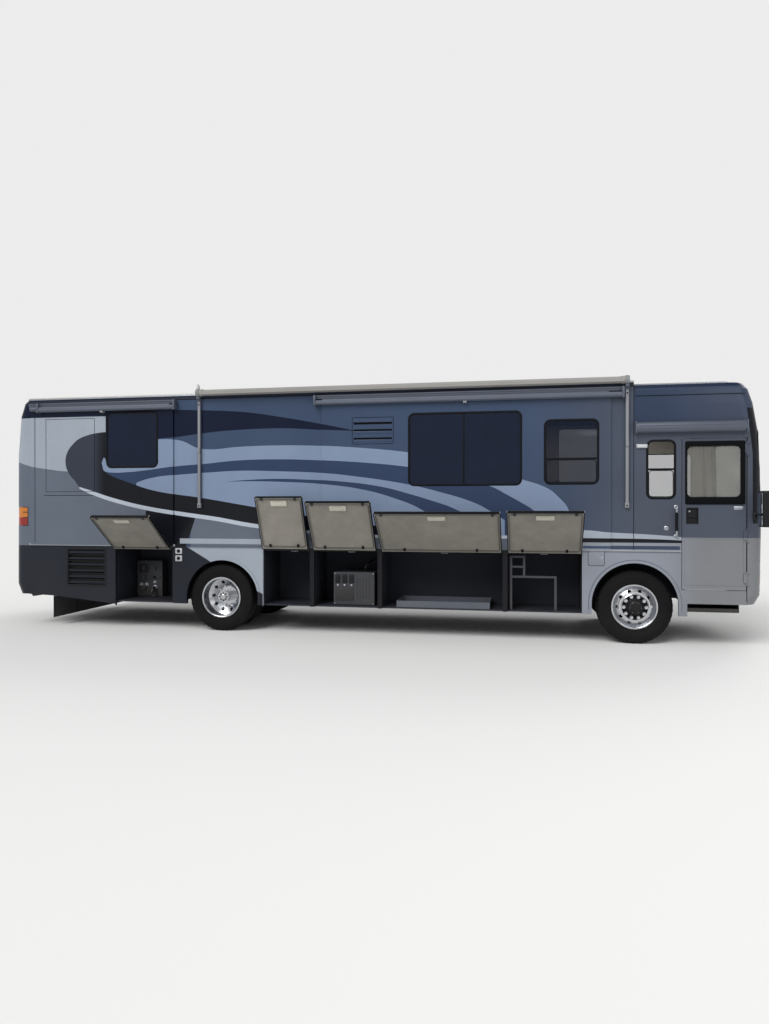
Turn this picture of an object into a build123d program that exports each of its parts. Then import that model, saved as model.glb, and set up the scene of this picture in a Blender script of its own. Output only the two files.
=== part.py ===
from build123d import *
import math
import os

# Millimetres, +X to the front, +Y to the left, +Z up, ground at Z = 0
# Most parts take a side: -1 is the right side, with the entry door, and 1 is the left

# Clearances
SEAT_GAP = 0.3
RUNNING_GAP = 0.05
DOOR_GAP = 7
SEAL_GAP = 5

# Running gear
WHEELBASE = 5791
REAR_AXLE_X = -2030
FRONT_AXLE_X = REAR_AXLE_X + WHEELBASE
TYRE_R = 490
TYRE_W = 280
SHOULDER_R = 38
RIM_R = 285
RIM_FLANGE_R = 298
RIM_W = 230
RIM_WALL = 9
BEAD_IN = 7
DISC_OFFSET = 168
HAND_HOLES = 10

# Body
HALF_WIDTH = 1270
WALL = 45
INNER_Y = HALF_WIDTH - WALL
BEYOND_Y = HALF_WIDTH + 130
NOSE_X = 5450
TAIL_X = -5450
CAP_FRONT_X = 3735
PANEL_FRONT_X = 5115
CAP_REAR_X = -5130
SILL_Z = 1222
ROOF_Z = 3500
WALL_TOP_Z = ROOF_Z - 105
CAB_ROOF_Z = ROOF_Z - 70
FLOOR_T = 40
CEILING_Z = SILL_Z - FLOOR_T

# Axle widths follow the body
FRONT_TRACK_Y = HALF_WIDTH - 230
KINGPIN_Y = FRONT_TRACK_Y - 140
DUAL_OUT_Y = HALF_WIDTH - 190
DUAL_IN_Y = DUAL_OUT_Y - 2 * DISC_OFFSET

# Frame
RAIL_X = (-5080, 5050)
RAIL_Y = 430
RAIL_Z = (700, 950)
RAIL_T = 10
RAIL_FLANGE = 75
CROSS_X = [-4950, -3300, -1300, 1250, 2950, 4700]
CROSS_HALF = 35
CROSS_Z = (760, 890)
POSTS_X = [-4600, -3000, -1100, 600, 2300, 4500]
BRACKETS_X = [-3500, -2900, -1200, 200, 1500, 2900]
SHAFT_Z = 780
SHAFT_R = 60

# Lower body
BAY_BOTTOM_Z = 415
BAY_FLOOR_T = 20
BAY_BACK_Y = 500
PLATE = 20
SKIRT_Z = 395
CAB_SKIRT_Z = 560
DOOR_T = 38
PAN_EDGE = 45
HINGE_Y = HALF_WIDTH + 13
HINGE_R = 6
KNUCKLE_HALF = 60

# Right bay doors: rear edge, front edge, degrees above level at rest
RIGHT_BAYS = [
    (-3681, -2773, 37),
    (-1353, -672, 67),
    (-594, 310, 57),
    (387, 2034, 42),
    (2113, 3075, 43),
]
# Left bay doors: rear edge, front edge
LEFT_BAYS = [
    (-3681, -2773),
    (-1353, 40),
    (118, 1700),
    (1778, 3075),
]
# Wheel arches in the side panels: centre, radius, centre height
REAR_ARCH = (-1990, 550, 490)
FRONT_ARCH = (3750, 545, 531)
ARCH_LIP = 34
ARCH_PROUD = 10

# Entry door
DOOR_X = (4335, 5107)
DOOR_Z = (745, 2692)
DOOR_HINGE_X = DOOR_X[1] + 4
DOOR_HINGES_Z = (900, 1450, 2560)
WELL_X = (DOOR_X[0] + 60, DOOR_X[1] - 20)
WELL_Y = -700

# Slide-out rooms: rear edge, front edge
SLIDE_Z = (1240, WALL_TOP_Z - 145)
SLIDE_DEPTH = 620
SLIDE_LIP = 24
SLIDE_PROUD = 20
SLIDE_SKIN = 35
OPENING_EDGE = SLIDE_LIP - 8
BEDROOM_SLIDE = (-5096, -2745)
GALLEY_SLIDE = (-487, 3447)
LEFT_SLIDE = (-500, 2700)
RUNNER_PLACES = (0.15, 0.5, 0.85)

# Windows: rear edge, front edge, lower edge, upper edge
TOP = SLIDE_Z[1]
BEDROOM_WINDOW = (-3806, -2997, TOP - 842, TOP - 33)
BIG_WINDOW = (767, 2283, TOP - 1135, TOP - 159)
MID_WINDOW = (2601, 3281, TOP - 1127, TOP - 288)
VENT = (-21, 527, TOP - 550, TOP - 200)
LEFT_SLIDE_WINDOWS = [(-200, 700, TOP - 950, TOP - 300), (1250, 2400, TOP - 1100, TOP - 200)]
LEFT_WINDOWS = [(-3700, -2900, TOP - 850, TOP - 200), (2860, 3560, TOP - 1060, TOP - 140)]
NARROW_WINDOW = (3905, 4244, 1926, 2670)
DRIVER_WINDOW = (4200, 4950, 1926, 2670)
DOOR_WINDOW = (4385, 5045, 1930, 2600)
DOOR_WINDOW_FRAME = (4371, 5092, 1844, 2656)
WINDOW_R = 70
GLASS_T = 8

# Awnings
AWNING_X = (-2350, 3670)
AWNING_Z = ROOF_Z - 32
AWNING_R = 42
AWNING_Y = HALF_WIDTH + 62
ARM_W = 45
ARM_BOTTOM_Z = 1800
WINDOW_AWNING = (3757, 5100, 2775, 2910)

# Middle of the part's box, which becomes the origin
MIDDLE_X = -15
MIDDLE_Y = -164


# Helpers

def block(x0, x1, y0, y1, z0, z1):
    box = Box(abs(x1 - x0), abs(y1 - y0), abs(z1 - z0))
    return Pos((x0 + x1) / 2, (y0 + y1) / 2, (z0 + z1) / 2) * box


def rod_x(y, z, r, x0, x1):
    return Pos((x0 + x1) / 2, y, z) * Rot(0, 90, 0) * Cylinder(r, abs(x1 - x0))


def rod_y(x, z, r, y0, y1):
    return Pos(x, (y0 + y1) / 2, z) * Rot(90, 0, 0) * Cylinder(r, abs(y1 - y0))


def rod_z(x, y, r, z0, z1):
    return Pos(x, y, (z0 + z1) / 2) * Cylinder(r, abs(z1 - z0))


# A round-cornered pane seen from the side, between two places across the body
def pane(window, y0, y1, inset=0):
    x0, x1, z0, z1 = window
    shape = RectangleRounded(x1 - x0 - 2 * inset, z1 - z0 - 2 * inset, WINDOW_R - inset)
    outline = Plane.XZ * Pos((x0 + x1) / 2, (z0 + z1) / 2) * shape
    return Pos(0, max(y0, y1), 0) * extrude(outline, amount=abs(y1 - y0))


# A side view outline made solid between two places across the body
def side_profile(points, y0, y1):
    face = make_face(Plane.XZ * Polyline(*points, close=True))
    return Pos(0, max(y0, y1), 0) * extrude(face, amount=abs(y1 - y0), dir=(0, -1, 0))


# Body caps, lofted through level outlines

# One outline: straight sides, round corners and a bowed end
def cap_outline(x_joint, x_end, half, corner, bow, z):
    turn = math.asin((half - corner) / (bow - corner))
    x_corner = x_end - bow + (bow - corner) * math.cos(turn)
    x_touch = x_end - bow + bow * math.cos(turn)
    y_touch = bow * math.sin(turn)
    middle = math.radians(45) + turn / 2
    x_middle = x_corner + corner * math.cos(middle)
    y_middle = half - corner + corner * math.sin(middle)
    edges = [
        Line((x_joint, -half, z), (x_corner, -half, z)),
        ThreePointArc((x_corner, -half, z), (x_middle, -y_middle, z), (x_touch, -y_touch, z)),
        ThreePointArc((x_touch, -y_touch, z), (x_end, 0, z), (x_touch, y_touch, z)),
        ThreePointArc((x_touch, y_touch, z), (x_middle, y_middle, z), (x_corner, half, z)),
        Line((x_corner, half, z), (x_joint, half, z)),
        Line((x_joint, half, z), (x_joint, -half, z)),
    ]
    return Face(Wire(edges))


# Sections: height, distance in from the end, distance in from the side
FRONT_SECTIONS = [
    (560, 80, 15),
    (680, 15, 0),
    (1500, 0, 0),
    (2300, 10, 0),
    (CAB_ROOF_Z - 630, 45, 0),
    (CAB_ROOF_Z - 280, 105, 0),
    (CAB_ROOF_Z - 100, 165, 8),
    (CAB_ROOF_Z - 25, 230, 35),
    (CAB_ROOF_Z, 300, 80),
]
FRONT_CORNER_R = 200
FRONT_BOW = 5000
REAR_SECTIONS = [
    (482, 60, 8),
    (640, 0, 0),
    (2600, 10, 0),
    (ROOF_Z - 300, 60, 0),
    (ROOF_Z - 100, 120, 12),
    (ROOF_Z - 30, 180, 45),
    (ROOF_Z, 250, 100),
]
REAR_CORNER_R = 150
REAR_BOW = 12000
REAR_LOFT_X = 4800


# The sections up to a given height, with a new one there
def cut_off_sections(sections, top):
    kept = [section for section in sections if section[0] < top]
    above = next(section for section in sections if section[0] >= top)
    below = kept[-1]
    share = (top - below[0]) / (above[0] - below[0])
    end_in = below[1] + share * (above[1] - below[1])
    side_in = below[2] + share * (above[2] - below[2])
    return kept + [(top, end_in, side_in)]


def cap_loft(sections, x_joint, x_end, corner, bow, inset):
    faces = []
    for z, end_in, side_in in sections:
        half = HALF_WIDTH - side_in - inset
        faces.append(cap_outline(x_joint, x_end - end_in - inset, half, corner - inset, bow - inset, z))
    return loft(faces, ruled=True)


def front_loft(inset, sections=FRONT_SECTIONS):
    return cap_loft(sections, CAP_FRONT_X, NOSE_X, FRONT_CORNER_R, FRONT_BOW, inset)


# The rear skin between two depths
def rear_shell(inset_out, inset_in, top=ROOF_Z):
    inner_sections = cut_off_sections(REAR_SECTIONS, top)
    outer = cap_loft(REAR_SECTIONS, REAR_LOFT_X, -TAIL_X, REAR_CORNER_R, REAR_BOW, inset_out)
    inner = cap_loft(inner_sections, REAR_LOFT_X, -TAIL_X, REAR_CORNER_R, REAR_BOW, inset_in)
    kept = block(-CAP_REAR_X, -TAIL_X + 100, -BEYOND_Y, BEYOND_Y, 0, ROOF_Z + 100)
    return mirror((outer - inner) & kept, Plane.YZ)


SCREEN_HALF = HALF_WIDTH - 105
SCREEN_Z = (1660, CAB_ROOF_Z - 640)
SCREEN_CORNER_R = 110
NOSE_GRILLE = (420, 760, 1040)
NOSE_SLATS = 4
HEAD_LAMP_Y = (HALF_WIDTH - 650, HALF_WIDTH - 210)
HEAD_LAMP_Z = (790, 1010)
TAIL_LAMP_Y = HALF_WIDTH - 250
TAIL_LAMP_Z = (1530, 1810)
FRONT_OF_PANELS = (PANEL_FRONT_X + 60, NOSE_X + 150)
HATCH_HALF = 720
HATCH_Z = (640, 1560)
HATCH_SLATS = 6
HATCH_HINGE_X = TAIL_X - 12
HATCH_HINGE_Z = HATCH_Z[1] + 3
HATCH_HINGES_Y = (-400, 400)


def screen_prism(inset):
    height = SCREEN_Z[1] - SCREEN_Z[0] - 2 * inset
    shape = RectangleRounded(2 * SCREEN_HALF - 2 * inset, height, SCREEN_CORNER_R - inset)
    outline = Plane.YZ * Pos(0, sum(SCREEN_Z) / 2) * shape
    return Pos(FRONT_OF_PANELS[0], 0, 0) * extrude(outline, amount=FRONT_OF_PANELS[1] - FRONT_OF_PANELS[0])


# Hinge knuckles on both sides of a door's own tube, fixed to the body
def door_hinge_seats():
    seats = []
    for z in DOOR_HINGES_Z:
        for end in (-1, 1):
            z0, z1 = z + end * (KNUCKLE_HALF + 0.5), z + end * (KNUCKLE_HALF + 30)
            seats.append(rod_z(DOOR_HINGE_X, -HINGE_Y, HINGE_R, z0, z1))
            seats.append(block(DOOR_HINGE_X, DOOR_HINGE_X + 30, -HINGE_Y - 2, -HINGE_Y + 2, z0, z1))
            seats.append(block(DOOR_HINGE_X + 20, DOOR_HINGE_X + 30, -HINGE_Y - 2, -HALF_WIDTH + 6, z0, z1))
    return seats


def front_cap():
    shell = front_loft(0) - front_loft(WALL, cut_off_sections(FRONT_SECTIONS, CAB_ROOF_Z - WALL))
    shell -= screen_prism(0)
    half, low, high = NOSE_GRILLE
    shell -= block(*FRONT_OF_PANELS, -half, half, low, high)
    pitch = (high - low) / NOSE_SLATS
    for k in range(NOSE_SLATS):
        z = low + pitch * (k + 0.35)
        shell += block(NOSE_X - 50, NOSE_X - 24, -half, half, z, z + pitch / 3)
    for side in (-1, 1):
        shell -= block(*FRONT_OF_PANELS, side * HEAD_LAMP_Y[0], side * HEAD_LAMP_Y[1], *HEAD_LAMP_Z)
    # The sides end above the lower panels and around the entry door
    shell -= block(CAP_FRONT_X - 10, PANEL_FRONT_X, -BEYOND_Y, BEYOND_Y, 0, SILL_Z)
    door_top = DOOR_Z[1] + DOOR_GAP
    shell -= block(DOOR_X[0] - DOOR_GAP, PANEL_FRONT_X, -BEYOND_Y, -INNER_Y + 100, 0, door_top)
    for seat in door_hinge_seats():
        shell += seat
    shell -= pane(NARROW_WINDOW, -BEYOND_Y, -INNER_Y + 100)
    shell -= pane(DRIVER_WINDOW, BEYOND_Y, INNER_Y - 100)
    # Panel joints between nose, cab roof and cab sides
    joint = SEAT_GAP / 2
    shell -= block(PANEL_FRONT_X - joint, PANEL_FRONT_X + joint, -BEYOND_Y, BEYOND_Y, 0, ROOF_Z)
    z = CAB_ROOF_Z - 170
    shell -= block(CAP_FRONT_X - 10, PANEL_FRONT_X, -BEYOND_Y, BEYOND_Y, z - joint, z + joint)
    return shell


def windscreen():
    glass = (front_loft(6) - front_loft(6 + GLASS_T)) & screen_prism(SEAT_GAP)
    return glass - block(*FRONT_OF_PANELS, -1.5, 1.5, *SCREEN_Z)


def rear_cap():
    shell = rear_shell(0, WALL, ROOF_Z - WALL)
    x0, x1 = TAIL_X - 100, CAP_REAR_X - 20
    half = HATCH_HALF + DOOR_GAP
    shell -= block(x0, x1, -half, half, HATCH_Z[0] - DOOR_GAP, HATCH_Z[1] + DOOR_GAP)
    for side in (-1, 1):
        shell -= block(x0, x1 - 10, side * TAIL_LAMP_Y, side * BEYOND_Y, *TAIL_LAMP_Z)
    # Fixed knuckles of the engine hatch's hinges
    z = HATCH_HINGE_Z
    for y in HATCH_HINGES_Y:
        for end in (-1, 1):
            ys = (y + end * (KNUCKLE_HALF + 0.5), y + end * (KNUCKLE_HALF + 30))
            shell += rod_y(HATCH_HINGE_X, z, HINGE_R, *ys)
            shell += block(HATCH_HINGE_X, TAIL_X + 24, *ys, z + 1, z + 5)
            shell += block(TAIL_X - 4, TAIL_X + 24, *ys, z + 1, z + 30)
    return shell


def engine_hatch():
    x0, x1 = TAIL_X - 100, CAP_REAR_X - 20
    lid = rear_shell(0, DOOR_T) & block(x0, x1, -HATCH_HALF, HATCH_HALF, *HATCH_Z)
    for k in range(HATCH_SLATS):
        z = 760 + 70 * k
        lid -= block(x0, x1, -HATCH_HALF + 240, HATCH_HALF - 240, z, z + 34)
    for y in HATCH_HINGES_Y:
        ys = (y - KNUCKLE_HALF, y + KNUCKLE_HALF)
        lid += rod_y(HATCH_HINGE_X, HATCH_HINGE_Z, HINGE_R, *ys)
        lid += block(HATCH_HINGE_X, TAIL_X + 14, *ys, HATCH_Z[1] - 12, HATCH_HINGE_Z - 2)
    return lid


# Lamps set into the caps
def lamps():
    solids = []
    nose = front_loft(2) - front_loft(WALL - 2)
    tail = rear_shell(2, WALL - 2)
    gap = SEAT_GAP
    for side in (-1, 1):
        y0, y1 = side * (HEAD_LAMP_Y[0] + gap), side * (HEAD_LAMP_Y[1] - gap)
        solids.append(nose & block(*FRONT_OF_PANELS, y0, y1, HEAD_LAMP_Z[0] + gap, HEAD_LAMP_Z[1] - gap))
        y0, z0, z1 = side * (TAIL_LAMP_Y + gap), TAIL_LAMP_Z[0] + gap, TAIL_LAMP_Z[1] - gap
        solids.append(tail & block(TAIL_X - 100, CAP_REAR_X - 30 - gap, y0, side * BEYOND_Y, z0, z1))
    return solids


# Roof

# A crowned slab with rounded edges
def roof():
    x = CAP_REAR_X
    half = HALF_WIDTH
    low = ROOF_Z - 50
    high = ROOF_Z - 18
    edges = [
        Line((x, -half, WALL_TOP_Z), (x, half, WALL_TOP_Z)),
        Line((x, half, WALL_TOP_Z), (x, half, low)),
        ThreePointArc((x, half, low), (x, half - 18, high - 10), (x, half - 70, high)),
        ThreePointArc((x, half - 70, high), (x, 0, ROOF_Z), (x, 70 - half, high)),
        ThreePointArc((x, 70 - half, high), (x, 18 - half, high - 10), (x, -half, low)),
        Line((x, -half, low), (x, -half, WALL_TOP_Z)),
    ]
    return extrude(Face(Wire(edges)), amount=CAP_FRONT_X - x, dir=(1, 0, 0))


def roof_vents(roof_solid):
    vents = []
    for x, y in ((-4100, 300), (-1600, 0), (1200, 0)):
        curb = block(x - 200, x + 200, y - 200, y + 200, ROOF_Z - 12, ROOF_Z + 60)
        lid = loft([Rectangle(460, 460), Pos(0, 0, 45) * Rectangle(400, 400)])
        vents.append(curb + Pos(x, y, ROOF_Z + 60) * lid - roof_solid)
    return vents


# Side walls, jointed in line with the room openings
def wall(side, rooms, windows):
    y_in, y_out = side * INNER_Y, side * HALF_WIDTH
    y_near, y_far = side * (INNER_Y - 10), side * (HALF_WIDTH + 30)
    plate = block(CAP_REAR_X, CAP_FRONT_X, y_in, y_out, SILL_Z, WALL_TOP_Z)
    # A strip over the bay doors' hinges
    strip_z = SILL_Z + HINGE_R + 0.5
    plate += block(CAP_REAR_X, CAP_FRONT_X, y_out, side * (HALF_WIDTH + 18), strip_z, strip_z + 10)
    for window in windows:
        plate -= pane(window, y_near, y_far)
    for x0, x1 in rooms:
        x0, x1 = x0 + OPENING_EDGE, x1 - OPENING_EDGE
        plate -= block(x0, x1, y_near, y_far, SLIDE_Z[0] + OPENING_EDGE, SLIDE_Z[1] - OPENING_EDGE)
        for x in (x0, x1):
            plate -= block(x - SEAT_GAP / 2, x + SEAT_GAP / 2, y_near, y_far, SILL_Z, WALL_TOP_Z)
    return plate


# Side panels below the sill, open at the bay doors and the wheels
GRILLE = (-4480, -3857, 633, 1177)
GRILLE_SLATS = 6
SKIRT_SLOPE = [(CAP_REAR_X - 10, 300), (CAP_REAR_X - 10, 480), (-4680, 464), (-3690, 362), (-3690, 300)]


def arch_cut(arch, radius, y0, y1):
    x, _, z = arch
    return rod_y(x, z, radius, y0, y1) + block(x - radius, x + radius, y0, y1, 0, z)


def lower_panels(side, bays):
    y_in, y_out = side * INNER_Y, side * HALF_WIDTH
    y_near, y_far = side * (INNER_Y - 10), side * (HALF_WIDTH + 40)
    plate = block(CAP_REAR_X, PANEL_FRONT_X - SEAT_GAP, y_in, y_out, 340, SILL_Z)
    for arch in (REAR_ARCH, FRONT_ARCH):
        lip = arch_cut(arch, arch[1] + ARCH_LIP, y_out - side, side * (HALF_WIDTH + ARCH_PROUD))
        lip &= block(arch[0] - 900, arch[0] + 900, y_near, y_far, SKIRT_Z, SILL_Z)
        plate += lip
        plate -= arch_cut(arch, arch[1], y_near, y_far)
    plate -= side_profile(SKIRT_SLOPE, y_near, y_far)
    plate -= block(bays[0][0], PANEL_FRONT_X, y_near, y_far, 0, SKIRT_Z)
    plate -= block(DOOR_X[0] + 65, PANEL_FRONT_X, y_near, y_far, 0, CAB_SKIRT_Z)
    for bay in bays:
        plate -= block(bay[0] - DOOR_GAP, bay[1] + DOOR_GAP, y_near, y_far, 0, SILL_Z + 10)
    gx0, gx1, gz0, gz1 = GRILLE
    plate -= block(gx0, gx1, y_near, y_far, gz0, gz1)
    pitch = (gz1 - gz0) / GRILLE_SLATS
    for k in range(GRILLE_SLATS):
        z = gz0 + pitch * (k + 0.3)
        plate += block(gx0, gx1, side * (HALF_WIDTH - 6), side * (HALF_WIDTH - 36), z, z + 34)
    return plate


def right_lower_panels():
    plate = lower_panels(-1, RIGHT_BAYS)
    y_near, y_far = -INNER_Y + 10, -HALF_WIDTH - 40
    return plate - block(DOOR_X[0] - DOOR_GAP, PANEL_FRONT_X, y_near, y_far, DOOR_Z[0] - DOOR_GAP, SILL_Z + 10)


# Storage bays: floor, back wall and cross walls between the side and the frame
def storage_bays():
    solids = []
    z0, z1 = BAY_BOTTOM_Z + SEAT_GAP, CEILING_Z
    for side, bays in ((-1, RIGHT_BAYS), (1, LEFT_BAYS)):
        y_out, y_back = side * (INNER_Y - SEAT_GAP), side * BAY_BACK_Y
        y_front = side * (BAY_BACK_Y + PLATE)
        for first, last in ((0, 0), (1, len(bays) - 1)):
            x0, x1 = bays[first][0] - 30, bays[last][1] + 30
            solids.append(block(x0, x1, y_back, y_out, BAY_BOTTOM_Z - BAY_FLOOR_T, BAY_BOTTOM_Z))
            solids.append(block(x0, x1, y_back, y_front, z0, z1))
            walls = [x0, x1 - PLATE]
            for k in range(first, last):
                walls.append((bays[k][1] + bays[k + 1][0]) / 2 - PLATE / 2)
            for x in walls:
                solids.append(block(x, x + PLATE, y_front + side * SEAT_GAP, y_out, z0, z1))
    return solids


# Fittings in the right bays: equipment case, cargo tray, bracket and service panel
def bay_fittings():
    floor = BAY_BOTTOM_Z + SEAT_GAP
    service_bay, _, equipment_bay, tray_bay, bracket_bay = [bay[0] for bay in RIGHT_BAYS]
    x0, y0 = equipment_bay + 245, -INNER_Y + 75
    case = fillet(block(x0, x0 + 600, y0, y0 + 510, floor, floor + 470).edges(), 12)
    for k in range(5):
        case -= block(x0 + 340 + 44 * k, x0 + 360 + 44 * k, y0 - 5, y0 + 8, floor + 90, floor + 380)
    x0, y0 = tray_bay + 190, -INNER_Y + 10
    tray = block(x0, x0 + 1290, y0, y0 + 615, floor, floor + 90)
    tray -= block(x0 + 8, x0 + 1282, y0 + 8, y0 + 607, floor + 8, floor + 100)
    x0, y0 = bracket_bay + 24, -INNER_Y + 45
    y1 = y0 + 30
    bracket = block(x0, x0 + 30, y0, y1, floor, 1150)
    bracket += block(x0 + 175, x0 + 205, y0, y1, 850, 1150)
    for z in (850, 985, 1120):
        bracket += block(x0, x0 + 205, y0, y1, z, z + 28)
    bracket += block(x0 + 175, x0 + 620, y0, y1, 850, 878)
    bracket += block(x0 + 590, x0 + 620, y0, y1, floor, 878)
    x0, y0 = service_bay + 40, -INNER_Y + 525
    panel = block(x0, x0 + 420, y0, y0 + 160, floor, floor + 560)
    for z in (floor + 140, floor + 300, floor + 440):
        panel += rod_y(x0 + 120, z, 34, y0, y0 - 40)
        panel += rod_y(x0 + 300, z, 26, y0, y0 - 30)
    return [case, tray, bracket, panel]


# Wheel wells: plates above and around the wheels
WELL_SKIN = 6
WELL_BOTTOM_Z = 560


def wheel_wells():
    solids = []
    for side in (-1, 1):
        for x, behind, ahead, y_in, top in (
            (REAR_AXLE_X, 600, 640, DUAL_IN_Y - 204, 1085),
            (FRONT_AXLE_X, 630, 610, KINGPIN_Y - 330, 1130),
        ):
            x0, x1 = x - behind, x + ahead
            y0, y1 = side * y_in, side * (INNER_Y - SEAT_GAP)
            under = top - WELL_SKIN - SEAT_GAP
            solids.append(block(x0, x1, y0, y1, top - WELL_SKIN, top))
            solids.append(block(x0, x1, y0, y0 + side * WELL_SKIN, WELL_BOTTOM_Z, under))
            y0 += side * (WELL_SKIN + SEAT_GAP)
            solids.append(block(x0, x0 + WELL_SKIN, y0, y1, WELL_BOTTOM_Z, under))
            solids.append(block(x1 - WELL_SKIN, x1, y0, y1, WELL_BOTTOM_Z, under))
            # Hangers up to the floor
            for share in (0.2, 0.8):
                xh = x0 + share * (x1 - x0)
                solids.append(block(xh - 20, xh + 20, y0, y0 + side * 40, top + SEAT_GAP, CEILING_Z))
    return solids


# Floor in three slabs round the step well, with the steps and the rooms' runners
def floor_deck():
    z0, z1 = CEILING_Z, SILL_Z
    gap = SEAT_GAP
    x0, x1 = WELL_X
    solids = [
        block(CAP_REAR_X, x0 - 15 - gap, -INNER_Y, INNER_Y, z0, z1),
        block(x0 - 15, x1 + 15, WELL_Y + 20, INNER_Y, z0, z1),
    ]
    nose = cap_outline(CAP_FRONT_X, NOSE_X - 75, INNER_Y, FRONT_CORNER_R - WALL, FRONT_BOW - WALL, z0)
    nose_slab = extrude(nose, amount=FLOOR_T, dir=(0, 0, 1))
    solids.append(nose_slab & block(x1 + 15 + gap, NOSE_X, -INNER_Y, INNER_Y, z0, z1))
    # Two treads, their risers and the well's sides
    for y_out, y_in, tread_z, top_z in (
        (-INNER_Y, WELL_Y - 260, 790, 975),
        (WELL_Y - 260 + gap, WELL_Y, 1000, z1),
    ):
        solids.append(block(x0, x1, y_out, y_in, tread_z - 25, tread_z))
        solids.append(block(x0, x1, y_in, y_in + 20 - gap, tread_z - 25, top_z - gap))
    for x in (x0 - 15, x1 + gap):
        solids.append(block(x, x + 15 - gap, -INNER_Y, WELL_Y + 20 - gap, 765, z0 - gap))
    top = SLIDE_Z[0] + SLIDE_LIP - gap
    for side, (x0, x1) in ((-1, BEDROOM_SLIDE), (-1, GALLEY_SLIDE), (1, LEFT_SLIDE)):
        for share in RUNNER_PLACES:
            x = x0 + share * (x1 - x0)
            y_in = side * (HALF_WIDTH - SLIDE_DEPTH + 35)
            solids.append(block(x - 40, x + 40, y_in, side * INNER_Y, z1 + gap, top))
    return solids


# Slide-out rooms: a lipped outer face with windows, and a floor, ceiling and ends behind it
def slide_room(side, room, windows):
    x0, x1 = room
    z0, z1 = SLIDE_Z
    y_face = HALF_WIDTH + SEAL_GAP
    face = block(x0, x1, side * y_face, side * (y_face + SLIDE_PROUD), z0, z1)
    bx0, bx1 = x0 + SLIDE_LIP, x1 - SLIDE_LIP
    bz0, bz1 = z0 + SLIDE_LIP, z1 - SLIDE_LIP
    face += block(bx0, bx1, side * y_face, side * (y_face - SLIDE_SKIN), bz0, bz1)
    for window in windows:
        face -= pane(window, side * (y_face - 60), side * (y_face + 40))
    y_out = side * (y_face - SLIDE_SKIN - SEAT_GAP)
    y_in = side * (y_face - SLIDE_DEPTH)
    ceiling_t = 12
    solids = [face]
    solids.append(block(bx0, bx1, y_out, y_in, bz0, bz0 + SLIDE_SKIN))
    solids.append(block(bx0, bx1, y_out, y_in, bz1 - ceiling_t, bz1))
    ez0, ez1 = bz0 + SLIDE_SKIN + SEAT_GAP, bz1 - ceiling_t - SEAT_GAP
    for x in (bx0, bx1 - SLIDE_SKIN):
        solids.append(block(x, x + SLIDE_SKIN, y_out, y_in, ez0, ez1))
    return solids


# The galley room's face also has a slotted appliance vent
def galley_room():
    solids = slide_room(-1, GALLEY_SLIDE, [BIG_WINDOW, MID_WINDOW])
    y_face = -HALF_WIDTH - SEAL_GAP - SLIDE_PROUD
    x0, x1, z0, z1 = VENT
    pitch = (z1 - z0) / 3
    for k in range(3):
        z = z0 + pitch * (k + 0.25)
        solids[0] -= block(x0, x1, y_face - 10, y_face + 12, z, z + 50)
    return solids


def panes(side, windows, y_out):
    return [pane(window, side * y_out, side * (y_out - GLASS_T), SEAT_GAP) for window in windows]


# Bay doors, built shut and turned about their hinge line
def bay_door(x0, x1, side, turn):
    y_out = side * HALF_WIDTH
    top = SILL_Z - 5
    leaf = block(x0, x1, y_out, y_out - side * DOOR_T, BAY_BOTTOM_Z, top)
    # The inner face is a shallow pan with a latch box
    y_pan = y_out - side * (DOOR_T - 6)
    y_beyond = y_out - side * (DOOR_T + 5)
    leaf -= block(x0 + PAN_EDGE, x1 - PAN_EDGE, y_pan, y_beyond, BAY_BOTTOM_Z + PAN_EDGE, top - PAN_EDGE)
    middle = (x0 + x1) / 2
    y_latch = (y_out - side * (DOOR_T - 10), y_out - side * (DOOR_T + 8))
    leaf += block(middle - 70, middle + 70, *y_latch, BAY_BOTTOM_Z + 60, BAY_BOTTOM_Z + 120)
    # Hinge tube along the top edge
    leaf += rod_x(side * HINGE_Y, SILL_Z, HINGE_R, x0 + 4, x1 - 4)
    leaf += block(x0 + 4, x1 - 4, side * HINGE_Y, y_out - side * 4, SILL_Z - 6, SILL_Z - 2)
    return leaf.rotate(Axis((0, side * HINGE_Y, SILL_Z), (1, 0, 0)), turn)


def entry_door():
    y = -HALF_WIDTH
    door = block(*DOOR_X, y, y + DOOR_T, *DOOR_Z)
    fx0, fx1, fz0, fz1 = DOOR_WINDOW_FRAME
    door += block(fx0, fx1, y - 10, y, fz0, fz1)
    door -= pane(DOOR_WINDOW, y - 30, y + DOOR_T + 10)
    # Handle bowl with its lever
    door -= block(fx0 + 20, fx0 + 154, y - 10, y + 22, 1600, 1795)
    door += block(fx0 + 34, fx0 + 140, y - 6, y + 24, 1680, 1704)
    # Shallow field on the lower half
    x0, x1 = DOOR_X[0] + 28, DOOR_X[1] - 28
    door -= block(x0, x1, y - 5, y + 3, DOOR_Z[0] + 50, 1400)
    door += block(x0 + 8, x1 - 8, y, y + 4, DOOR_Z[0] + 58, 1392)
    for z in DOOR_HINGES_Z:
        zs = (z - KNUCKLE_HALF, z + KNUCKLE_HALF)
        door += rod_z(DOOR_HINGE_X, -HINGE_Y, HINGE_R, *zs)
        door += block(DOOR_X[1] - 30, DOOR_HINGE_X, -HINGE_Y - 2, -HINGE_Y + 2, *zs)
        door += block(DOOR_X[1] - 30, DOOR_X[1] - 22, -HINGE_Y - 2, y + 2, *zs)
    return door


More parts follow.
